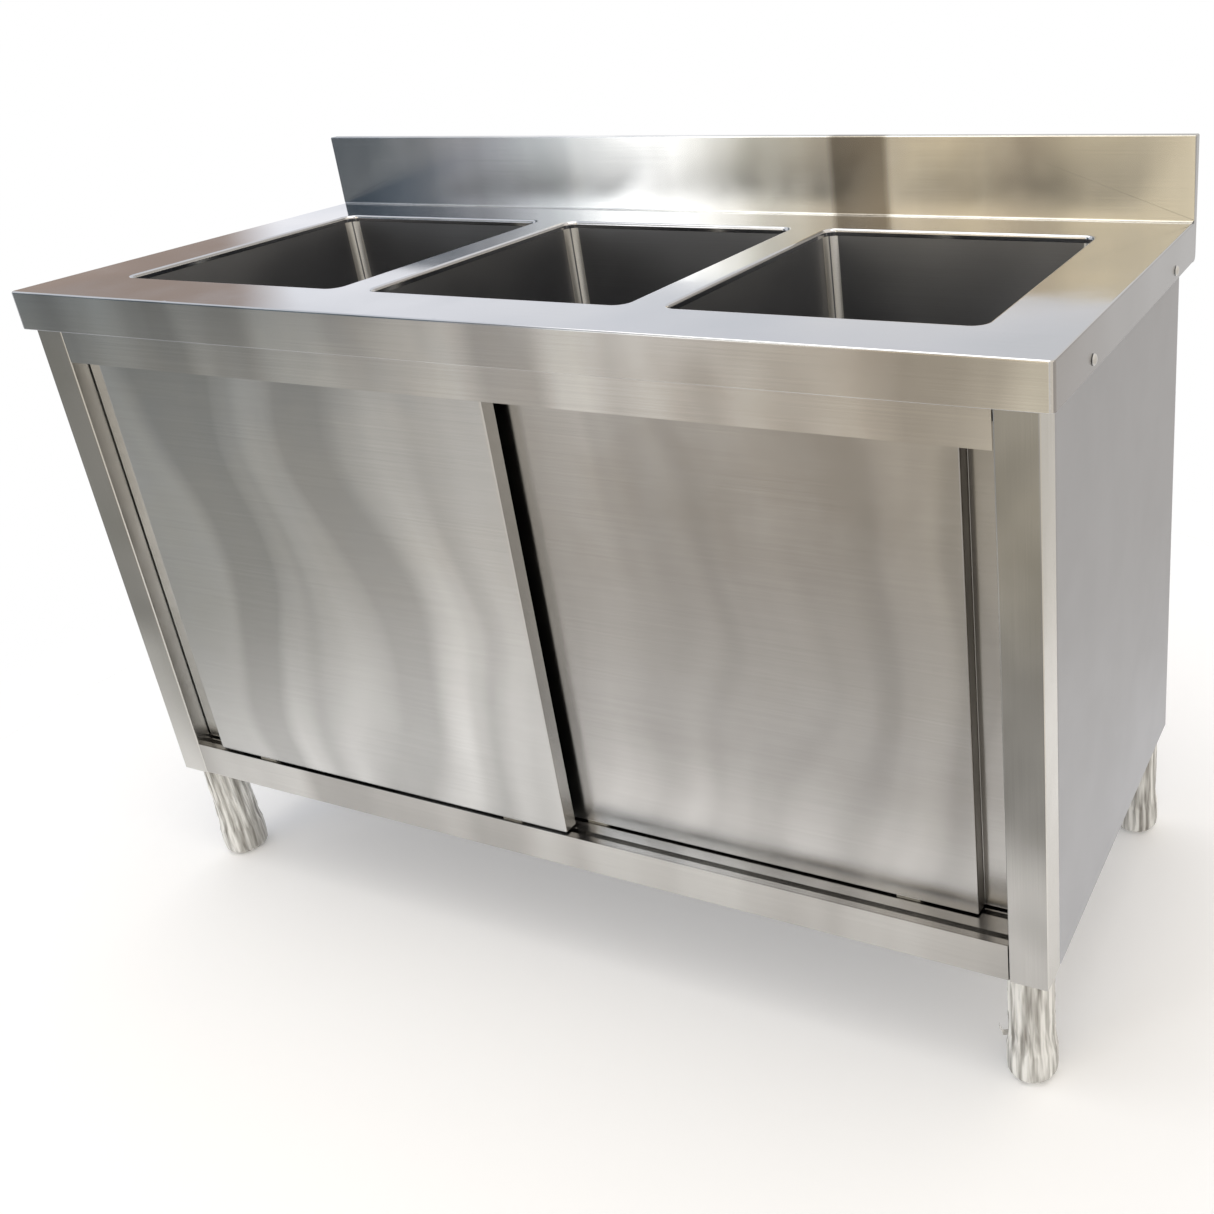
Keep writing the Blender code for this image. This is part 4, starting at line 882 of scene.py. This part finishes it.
def makeHangers():
    firstHanger = firstRoller = firstGuide = None
    for name, side in sides:
        for end in ("outer", "inner"):
            low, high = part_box(f"door_{name}_hanger_{end}")
            wheelLow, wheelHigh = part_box(f"door_{name}_roller_{end}")
            guideLow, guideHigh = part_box(f"door_{name}_guide_{end}")
            centre = (wheelLow + wheelHigh) / 2
            if firstHanger is None:
                origin = centre.copy()
                back = low.y + hanger["plate"]
                piece = addBox("hangerPlate", low, (high.x, back, high.z))
                pick(piece, "EDGE", lambda edge: runs(edge, 1) and middle(edge).z > high.z - 0.001)
                bevelEdges(hanger["corner"], 6)
                letGo()
                foot = addBox("hangerFoot", (low.x, low.y + 0.001, low.z),
                              (high.x, high.y, low.z + hanger["plate"]))
                cutAway(piece, foot, "UNION")
                easeEdges(piece, 0.0004)
                axle = turnPiece("hangerAxle", (centre.x, 0, centre.z), [
                    (hanger["axle"], -(back - 0.001)), (hanger["axle"], -(wheelHigh.y + 0.0006)),
                    (hanger["head"] - 0.0004, -(wheelHigh.y + 0.0006)),
                    (hanger["head"], -(wheelHigh.y + 0.001)),
                    (hanger["head"] - 0.0012, -(wheelHigh.y + 0.0018)), (0.0004, -(wheelHigh.y + 0.0019)),
                ], 32, solid=True, axis="y")
                pick(axle, "EDGE", lambda edge: len(edge.link_faces) == 1)
                bpy.ops.mesh.fill_holes(sides=0)
                letGo()
                cutAway(piece, axle, "UNION")
                smooth(piece, 30)
                r, g, b, lip = roller["radius"], roller["groove"], roller["bore"], roller["lip"]
                h, w = (wheelHigh.y - wheelLow.y) / 2, 0.0013
                wheel = turnPiece("rollerWheel", centre, [
                    (b, -h), (r - 0.004, -h), (r - 0.0038, -h + 0.0008), (r - 0.002, -h + 0.0008),
                    (r - 0.0018, -h), (r - lip, -h), (r, -h + lip),
                    (r, -w - 0.0006), (r - 0.0003, -w), (g, -w + 0.0004), (g, w - 0.0004), (r - 0.0003, w),
                    (r, w + 0.0006), (r, h - lip),
                    (r - lip, h), (r - 0.0018, h), (r - 0.002, h - 0.0008), (r - 0.0038, h - 0.0008),
                    (r - 0.004, h), (b, h),
                ], 48, axis="y", closed=True)
                gCentre = (guideLow + guideHigh) / 2
                shoe = addBox("guideShoe", (guideLow.x, guideLow.y, guideHigh.z - 0.0025), guideHigh)
                tongue = addBox("guideTongue", (guideLow.x, gCentre.y - 0.0025, guideLow.z),
                                (guideHigh.x, gCentre.y + 0.0025, guideHigh.z - 0.001))
                cutAway(shoe, tongue, "UNION")
                easeEdges(shoe, 0.0005)
                firstHanger, firstRoller, firstGuide = piece, wheel, shoe
            else:
                shift = centre - origin
                piece = copyPiece(firstHanger, "hangerPlate", shift)
                wheel = copyPiece(firstRoller, "rollerWheel", shift)
                shoe = copyPiece(firstGuide, "guideShoe", shift)
            for item, stem in ((piece, "hanger"), (wheel, "roller"), (shoe, "guide")):
                item.name = item.data.name = f"{stem}_{name}_{end}"
            dress(piece, f"door_{name}", steel["fitting"], "hardware_steel", f"door_{name}_hanger_{end}")
            dress(wheel, f"door_{name}_roller_{end}", nylon, "nylon", f"door_{name}_roller_{end}")
            dress(shoe, f"door_{name}", nylon, "nylon", f"door_{name}_guide_{end}")


for name, side in sides:
    makeDoor(name, side)
makeHangers()
print("doors done")


# frame: square posts, the header and sill rails, panels and the cabinet floor
post = {"gauge": 0.0012, "cornerRadius": 0.0022, "capRadius": 0.0008}
rail = {"gauge": 0.0012, "foldRadius": 0.002, "endGap": 0.0004}
shelf = {"gauge": 0.0012, "foldRadius": 0.002, "notch": 0.0468}


def makePost(end, name):
    low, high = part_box(f"post_{end}_{name}")
    piece = addBox(f"postTube_{end}_{name}", low, high)
    pick(piece, "EDGE", lambda edge: runs(edge, 2))
    bevelEdges(post["cornerRadius"], 5)
    pick(piece, "FACE", lambda face: face.normal.z > 0.9)
    bpy.ops.mesh.delete(type="FACE")
    pick(piece, "EDGE", lambda edge: near(middle(edge).z, low.z) and sharp(edge))
    bevelEdges(post["capRadius"], 2)
    letGo()
    apply(piece, "SOLIDIFY", thickness=post["gauge"], offset=-1, use_even_offset=True)
    smooth(piece)
    # painted reflection and shade: the front right post takes its own shaded copy of the steel
    front = steel["postRight" if (end, name) == ("front", "right") else "post"]
    dress(piece, "sink", [front, steel["postSide"]], "frame_steel", f"post_{end}_{name}")
    # painted light: the side faces of each post take the lighter side copy
    for face in piece.data.polygons:
        face.material_index = int(abs(face.normal.x) > 0.7)


def makeRails():
    half = rail["gauge"] / 2
    low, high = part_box("header_rail")
    face = low.y + half
    line = [(face, low.z), (face, high.z - half), (high.y, high.z - half)]
    header = foldSheet("headerRail", line, low.x + rail["endGap"], high.x - rail["endGap"], "x",
                       rail["gauge"], rail["foldRadius"])
    dress(header, "sink", steel["rail"], "frame_steel", "header_rail")
    low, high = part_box("sill_rail")
    face = low.y + half
    line = [(face, high.z), (face, low.z + half), (high.y - half, low.z + half),
            (high.y - half, low.z + 0.012)]
    sill = foldSheet("sillRail", line, low.x + rail["endGap"], high.x - rail["endGap"], "x", rail["gauge"],
                     rail["foldRadius"])
    dress(sill, "sink", steel["rail"], "frame_steel", "sill_rail")


def makePanels():
    half = rail["gauge"] / 2
    for name, side in sides:
        low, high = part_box(f"side_panel_{name}")
        outer, inner = (high.x, low.x) if side > 0 else (low.x, high.x)
        face = outer - side * half
        line = [(inner, low.y + half), (face, low.y + half), (face, high.y - half), (inner, high.y - half)]
        panel = foldSheet(f"sidePanel_{name}", line, low.z, high.z, "z", rail["gauge"], rail["foldRadius"])
        for end in ends:
            boltLow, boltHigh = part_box(f"apron_bolt_{end}_{name}")
            spot = (boltLow + boltHigh) / 2
            cutAway(panel, addRod("boltHole", 0.0035, (face - 0.01, spot.y, spot.z),
                                  (face + 0.01, spot.y, spot.z), 24))
        dress(smooth(panel), "sink", steel["panel"], "panel_steel", f"side_panel_{name}")
    low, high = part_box("back_panel")
    panel = addBox("backPanel", low, high)
    outLow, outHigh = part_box("outlet_pipe")
    spot = (outLow + outHigh) / 2
    cutAway(panel, addRod("outletHole", 0.028, (spot.x, high.y - 0.02, spot.z),
                          (spot.x, high.y + 0.02, spot.z), 48))
    easeEdges(panel, 0.0003, 1)
    dress(panel, "sink", steel["panel"], "panel_steel", "back_panel")


def makeShelf():
    low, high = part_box("base_shelf")
    piece = addBox("baseShelf", low, high)
    pick(piece, "FACE", lambda face: face.normal.z < -0.9)
    bpy.ops.mesh.delete(type="FACE")
    letGo()
    notch = shelf["notch"]
    for name, side in sides:
        edgeX = high.x if side > 0 else low.x
        pick(piece, "FACE", lambda face: True)
        bpy.ops.mesh.bisect(plane_co=(edgeX - side * notch, 0, 0), plane_no=(1, 0, 0))
    pick(piece, "FACE", lambda face: True)
    bpy.ops.mesh.bisect(plane_co=(0, high.y - notch, 0), plane_no=(0, 1, 0))

    def inNotch(point):
        return abs(point.x) > high.x - notch and point.y > high.y - notch

    pick(piece, "FACE", lambda face: inNotch(middle(face)))
    bpy.ops.mesh.delete(type="FACE")
    # the skirt turns in round each notch
    pick(piece, "EDGE", lambda edge: len(edge.link_faces) == 1 and near(middle(edge).z, high.z))
    bpy.ops.mesh.extrude_region_move(TRANSFORM_OT_translate={"value": (0, 0, low.z - high.z)})
    pick(piece, "FACE", lambda face: True)
    bpy.ops.mesh.remove_doubles(threshold=1e-5)
    bpy.ops.mesh.normals_make_consistent(inside=False)
    pick(piece, "EDGE", lambda edge: near(middle(edge).z, high.z) and sharp(edge))
    bevelEdges(shelf["foldRadius"], 4)
    letGo()
    apply(piece, "SOLIDIFY", thickness=shelf["gauge"], offset=-1, use_even_offset=True)
    dress(smooth(piece), "sink", steel["panel"], "panel_steel", "base_shelf")


bolt = {"head": 0.0062, "dome": 0.0035, "shank": 0.0029, "nut": 0.0056}


def makeBolts():
    first = None
    for name, side in sides:
        for end in ends:
            low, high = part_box(f"apron_bolt_{end}_{name}")
            spot = (low + high) / 2
            if first is None:
                tip, root = abs(low.x if side < 0 else high.x), abs(high.x if side < 0 else low.x)
                apron = tip - bolt["dome"]
                head = bolt["head"]
                profile = [(head - 0.0004, apron), (head, apron + 0.0004)]
                profile += [(head * math.cos(math.radians(a)),
                             apron + 0.0004 + (bolt["dome"] - 0.0004) * math.sin(math.radians(a)))
                            for a in (15, 30, 45, 60, 75, 86)]
                shank = [(bolt["shank"], root), (bolt["shank"], root + 0.001), (bolt["nut"], root + 0.001),
                         (bolt["nut"], root + 0.005), (bolt["shank"], root + 0.005), (bolt["shank"], apron)]
                first = turnPiece("apronBolt", (0, spot.y, spot.z), shank + profile, 36, solid=True,
                                  axis="x")
                pick(first, "EDGE", lambda edge: len(edge.link_faces) == 1)
                bpy.ops.mesh.fill_holes(sides=0)
                letGo()
                smooth(first, 40)
                rightBolt = first
                first = copyPiece(rightBolt, "apronBoltLeft", (0, 0, 0), mirrorX=True)
                origin = spot.copy()
            source = first if side < 0 else rightBolt
            piece = copyPiece(source, f"apronBolt_{end}_{name}Dome",
                              (0, spot.y - origin.y, spot.z - origin.z))
            dress(smooth(piece, 40), "sink", steel["fitting"], "hardware_steel", f"apron_bolt_{end}_{name}")
    for spare in {first, rightBolt}:
        bpy.data.objects.remove(spare)


for end in ends:
    for name, side in sides:
        makePost(end, name)
makeRails()
makePanels()
makeShelf()
makeBolts()
print("frame done")


# legs and feet, with the packing film still wrapped round them
leg = {"radius": 0.0255, "wall": 0.0012, "plate": 0.0025, "bush": 0.012}
foot = {"shoulder": 0.028, "base": 0.019, "neck": 0.0445, "stem": 0.008}


def makeLeg(end, name):
    low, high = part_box(f"leg_{end}_{name}")
    footLow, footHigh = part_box(f"foot_{end}_{name}")
    centre = ((low.x + high.x) / 2, (low.y + high.y) / 2, 0)
    radius, plate = leg["radius"], leg["plate"]
    stem = foot["stem"] + 0.0004
    profile = [(stem, low.z + leg["bush"]), (stem, low.z), (radius - 0.001, low.z), (radius, low.z + 0.001),
               (radius, high.z - plate),
               (radius - leg["wall"], high.z - plate), (radius - leg["wall"], low.z + leg["bush"])]
    tube = turnPiece(f"legTube_{end}_{name}", centre, profile, 56, closed=True)
    top = addBox("legPlate", (low.x, low.y, high.z - plate), high)
    pick(top, "EDGE", lambda edge: runs(edge, 2))
    bevelEdges(0.004, 4)
    letGo()
    easeEdges(top, 0.0004, 1)
    # the weld bead round the top of the tube
    under = high.z - plate
    ring = [(radius - 0.0004, under + 0.0003), (radius + 0.0022, under + 0.0003),
            (radius + 0.0014, under - 0.0014), (radius - 0.0004, under - 0.0022)]
    bead = turnPiece("legWeld", centre, ring, 56, closed=True)
    letGo()
    for part in (top, bead, tube):
        part.select_set(True)
    bpy.context.view_layer.objects.active = tube
    bpy.ops.object.join()
    dress(smooth(tube, 30), "sink", steel["leg"], "leg_steel", f"leg_{end}_{name}")
    rim = (footHigh.x - footLow.x) / 2
    neck, base = foot["neck"], foot["base"]
    taper = rim - base
    curve = [(base + taper * math.cos(math.radians(a)), foot["shoulder"] * (1 - math.sin(math.radians(a))))
             for a in range(0, 91, 9)]
    profile = [(foot["stem"] - 0.001, footHigh.z), (foot["stem"], footHigh.z - 0.001), (foot["stem"], neck),
               (rim - 0.0016, neck),
               *arc((rim - 0.0016, neck - 0.0016), 0.0016, 75, 0, 4), *curve, (base - 0.002, 0.0),
               (base - 0.003, 0.0006), (0.001, 0.0006)]
    cup = turnPiece(f"footCup_{end}_{name}", centre, profile, 56, solid=True)
    pick(cup, "EDGE", lambda edge: len(edge.link_faces) == 1)
    bpy.ops.mesh.fill_holes(sides=0)
    letGo()
    dress(smooth(cup, 30), f"foot_{end}_{name}", steel["leg"], "leg_steel", f"foot_{end}_{name}")


wrap = {"gauge": 0.00012, "rings": 48, "around": 192, "Tube": (0.19, 0.113), "Foot": (0.19, 0.072)}


def makeWrap(end, name, seed):
    # packing film wound round the tube, and a second turn of it gathered round the foot
    low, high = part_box(f"leg_{end}_{name}")
    centre = Vector(((low.x + high.x) / 2, (low.y + high.y) / 2, 0))
    rod = leg["radius"]
    tubeLine = [(rod + 0.0018, 0.044), (rod + 0.0016, 0.158)]
    footLine = [(0.0225, 0.003), (0.0278, 0.0045), (0.0302, 0.009), (0.0308, 0.02), (0.0303, 0.044),
                (0.029, 0.05), (0.0275, 0.062), (0.0268, 0.07)]
    for part, line, body, depth in (("Tube", tubeLine, "sink", 0.0012),
                                    ("Foot", footLine, f"foot_{end}_{name}", 0.0009)):
        profile = []
        for (r0, h0), (r1, h1) in zip(line, line[1:]):
            steps = max(2, round(wrap["rings"] * math.hypot(r1 - r0, h1 - h0) / 0.11))
            profile += [(r0 + (r1 - r0) * step / steps, h0 + (h1 - h0) * step / steps)
                        for step in range(steps)]
        piece = turnPiece(f"legFilm{part}_{end}_{name}", centre, profile + [line[-1]], wrap["around"])
        for vert in piece.data.vertices:
            out = vert.co - Vector((centre.x, centre.y, vert.co.z))
            angle, height = math.atan2(out.y, out.x), vert.co.z
            fold = 0.0
            for count, lean, weight in ((3, 9, 0.45), (5, -14, 0.5), (9, 18, 0.45), (14, -22, 0.4),
                                        (22, 16, 0.35), (37, -12, 0.25)):
                drift = 2.4 * math.sin(21 * height + seed + count) + seed * count
                crease = math.cos(count * angle + lean * height + drift)
                swing = 0.65 + 0.35 * math.sin(count + 40 * height + seed)
                fold += weight * (1 - 2 * abs(crease) ** 0.7) * swing
            bottom = min(1, (height - 0.003) / 0.02)
            vert.co += out.normalized() * depth * (0.75 + fold) * max(0.25, bottom)
        apply(piece, "SOLIDIFY", thickness=wrap["gauge"], offset=1)
        smooth(piece, 70)
        piece.data.materials.clear()
        piece.data.materials.append(film)
        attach(piece, body)
        tabs = [makeTab(end, name)] if (part, end, name) == ("Foot", "front", "right") else []


def makeTab(end, name):
    # a loose tab of film that stands off the last turn
    low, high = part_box(f"leg_{end}_{name}")
    x, y = (low.x + high.x) / 2 - 0.0288, (low.y + high.y) / 2 - 0.004
    line = [(x + 0.002, y - 0.001), (x - 0.003, y - 0.004), (x - 0.007, y - 0.0045),
            (x - 0.0105, y - 0.002), (x - 0.0115, y + 0.002)]
    tab = foldSheet(f"legFilmTab_{end}_{name}", line, 0.049, 0.0575, "z", 0.0003, 0.0015)
    pick(tab, "VERT", lambda vert: vert.co.x < x - 0.006)
    bpy.ops.transform.resize(value=(1, 1, 0.6), center_override=(x, y, 0.056))
    bpy.ops.transform.translate(value=(0, 0, 0.004))
    letGo()
    tab.data.materials.clear()
    tab.data.materials.append(film)
    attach(tab, f"foot_{end}_{name}")
    return tab


for number, (end, (name, side)) in enumerate((end, pair) for end in ends for pair in sides):
    makeLeg(end, name)
    makeWrap(end, name, number + 1)
print("legs done")

# the two tracks are plain folded strips already; they only need their finish
for node in ("top_track", "bottom_track"):
    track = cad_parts[node]
    track.data.materials.clear()
    track.data.materials.append(steel["rail"])


# floor, light and camera
studio = {"floor": "#f4f4f4", "floorRadius": 1.7, "floorSolid": 0.75, "glow": 0.14}
roomFront = (  # what the metal mirrors in front: azimuth in degrees, colour
    (-150, "#5c666e"), (-134, "#5c666e"),  # a dim workshop
    (-132, "#94949a"), (-127, "#c8ccce"),
    (-126, "#ffffff"), (-123, "#f4f4f4"),  # the lit doorway
    (-120, "#a8a69e"), (-117, "#c0b9ad"),
    (-116, "#867c73"), (-115, "#8a8074"),  # a dark upright
    (-114, "#c6bcaa"), (-110, "#cfc6b4"),
    (-109, "#968c80"), (-108, "#968c80"),  # and another
    (-107, "#d2cab9"), (-102, "#d2cab9"),
    (-101, "#f0e8d8"), (-97, "#e6dfd0"),  # a pale wall
)
roomFloor = (  # the dull floor farther out in front
    (-150, "#8e8e88"), (-142, "#a09e98"), (-134, "#bcb7b0"), (-124, "#aaa298"), (-117, "#a49b90"),
    (-107, "#b8b1a2"),
)
roomBack = ((95, "#c9c8c6"), (139, "#dcdde2"), (141, "#90827a"),
            (160, "#8f8177"))  # behind, seen in the worktop


def makeStudio():
    letGo()
    bpy.ops.mesh.primitive_circle_add(vertices=96, radius=studio["floorRadius"], fill_type="NGON")
    floor = newPiece("studioFloor")
    material, tree, shader = newMaterial("paleFloor", Roughness=0.9, Base_Color=linear(studio["floor"]),
                                         Emission_Color=(1, 1, 1, 1), Emission_Strength=studio["glow"])
    place = addNode(tree, "TexCoord").outputs["Object"]
    far = addNode(tree, "VectorMath", {"operation": "LENGTH"}, {0: place}).outputs["Value"]
    cover = addNode(
        tree, "MapRange", {"From Min": studio["floorSolid"], "From Max": studio["floorRadius"], "To Min": 1,
                           "To Max": 0, "interpolation_type": "SMOOTHSTEP"}, {"Value": far},
    )
    tree.links.new(cover.outputs[0], shader.inputs["Alpha"])
    floor.data.materials.append(material)
    world = bpy.data.worlds.new("studio")
    bpy.context.scene.world = world
    world.use_nodes = True
    tree = world.node_tree
    background = tree.nodes["Background"]
    direction = addNode(tree, "TexCoord").outputs["Generated"]
    split = addNode(tree, "SeparateXYZ", links={"Vector": direction})
    turn = addNode(tree, "Math", {"operation": "ARCTAN2"},
                   {0: split.outputs["Y"], 1: split.outputs["X"]}).outputs[0]
    azimuth = addNode(tree, "Math", {"operation": "MULTIPLY", 1: 180 / math.pi}, {0: turn}).outputs[0]
    rise = split.outputs["Z"]

    def spread(value, low, high, bottom=0.0, top=1.0, smoothly=False):
        kind = "SMOOTHSTEP" if smoothly else "LINEAR"
        return addNode(tree, "MapRange",
                       {"From Min": low, "From Max": high, "To Min": bottom, "To Max": top,
                        "interpolation_type": kind}, {"Value": value}).outputs[0]

    def wall(stops):
        low, high = stops[0][0], stops[-1][0]
        place = [((azimuth - low) / (high - low), colour) for azimuth, colour in stops]
        return setRamp(addNode(tree, "ValToRGB", links={"Fac": spread(azimuth, low, high)}), place)

    def blend(share, first, second):
        return addNode(tree, "MixRGB", {}, {"Fac": share, "Color1": first, "Color2": second}).outputs[0]

    def times(first, second):
        return addNode(tree, "Math", {"operation": "MULTIPLY"}, {0: first, 1: second}).outputs[0]

    def brighten(colour, level):
        return addNode(tree, "VectorMath", {"operation": "SCALE", "Scale": level}, {0: colour}).outputs[0]

    # an even sky, cooler to the left and warmer to the right
    tint = setRamp(addNode(tree, "ValToRGB", links={"Fac": spread(split.outputs["X"], -1, 1)}),
                   ((0.2, "#eff3fb"), (0.8, "#fff7ec")))
    sky = addNode(tree, "VectorMath", {"operation": "SCALE"},
                  {0: tint, "Scale": spread(rise, -0.1, 0.9, 0.8, 1.0)}).outputs[0]
    deep = addNode(tree, "Gamma", {"Gamma": 1.4}, {"Color": wall(roomFront)}).outputs[0]
    lift = spread(rise, -0.13, 0.2, 2.0, 2.6)
    front = addNode(tree, "VectorMath", {"operation": "SCALE"}, {0: deep, "Scale": lift}).outputs[0]
    low = brighten(wall(roomFloor), 1.45)
    back = brighten(wall(roomBack), 1.4)
    frontShare = times(spread(azimuth, -156, -150, smoothly=True), spread(azimuth, -92, -98, smoothly=True))
    frontShare = times(frontShare, spread(rise, 0.75, 0.5, smoothly=True))
    backShare = times(spread(azimuth, 80, 95, smoothly=True), spread(azimuth, 166, 160, smoothly=True))
    backShare = times(backShare, spread(rise, 0.26, 0.2, smoothly=True))
    room = blend(frontShare, sky, front)
    room = blend(backShare, room, back)
    room = blend(times(frontShare, spread(rise, -0.165, -0.205, smoothly=True)), room, low)
    seen = addNode(tree, "LightPath").outputs["Is Camera Ray"]
    colour = addNode(tree, "MixRGB", {"Color2": (1, 1, 1, 1)}, {"Fac": seen, "Color1": room})
    tree.links.new(colour.outputs[0], background.inputs["Color"])


def addLight(name, place, target, size, power, colour):
    letGo()
    bpy.ops.object.light_add(type="AREA", location=place)
    light = bpy.context.object
    light.name = name
    light.data.shape = "RECTANGLE"
    light.data.size, light.data.size_y = size
    light.data.energy = power
    light.data.color = linear(colour)[:3]
    light.rotation_euler = (Vector(target) - Vector(place)).to_track_quat("-Z", "Y").to_euler()
    light.visible_camera = False


def makeCamera():
    data = bpy.data.cameras.new("mainCamera")
    camera = bpy.data.objects.new("mainCamera", data)
    bpy.context.scene.collection.objects.link(camera)
    right = Vector((0.914306, 0.400333, -0.061465))
    down = Vector((0.116068, -0.404368, -0.907202))
    forward = Vector((-0.388037, 0.822326, -0.416182))
    turn = Matrix((right, -down, -forward)).transposed().to_4x4()
    camera.matrix_world = Matrix.Translation((1.03127, -1.36396, 1.24696)) @ turn
    data.sensor_width = 36
    data.lens = 38.88
    data.shift_x, data.shift_y = -0.2326, -0.0578  # the framing is well to the left of the lens axis
    data.clip_end = 100
    bpy.context.scene.camera = camera


makeStudio()
addLight("ceilingSoftbox", (-0.2, -0.2, 3.0), (0, 0, 0.8), (2.4, 1.6), 26, "#fffaf2")
makeCamera()
bpy.context.scene.view_settings.view_transform = "Standard"
print("studio ready")

bpy.context.view_layer.update()
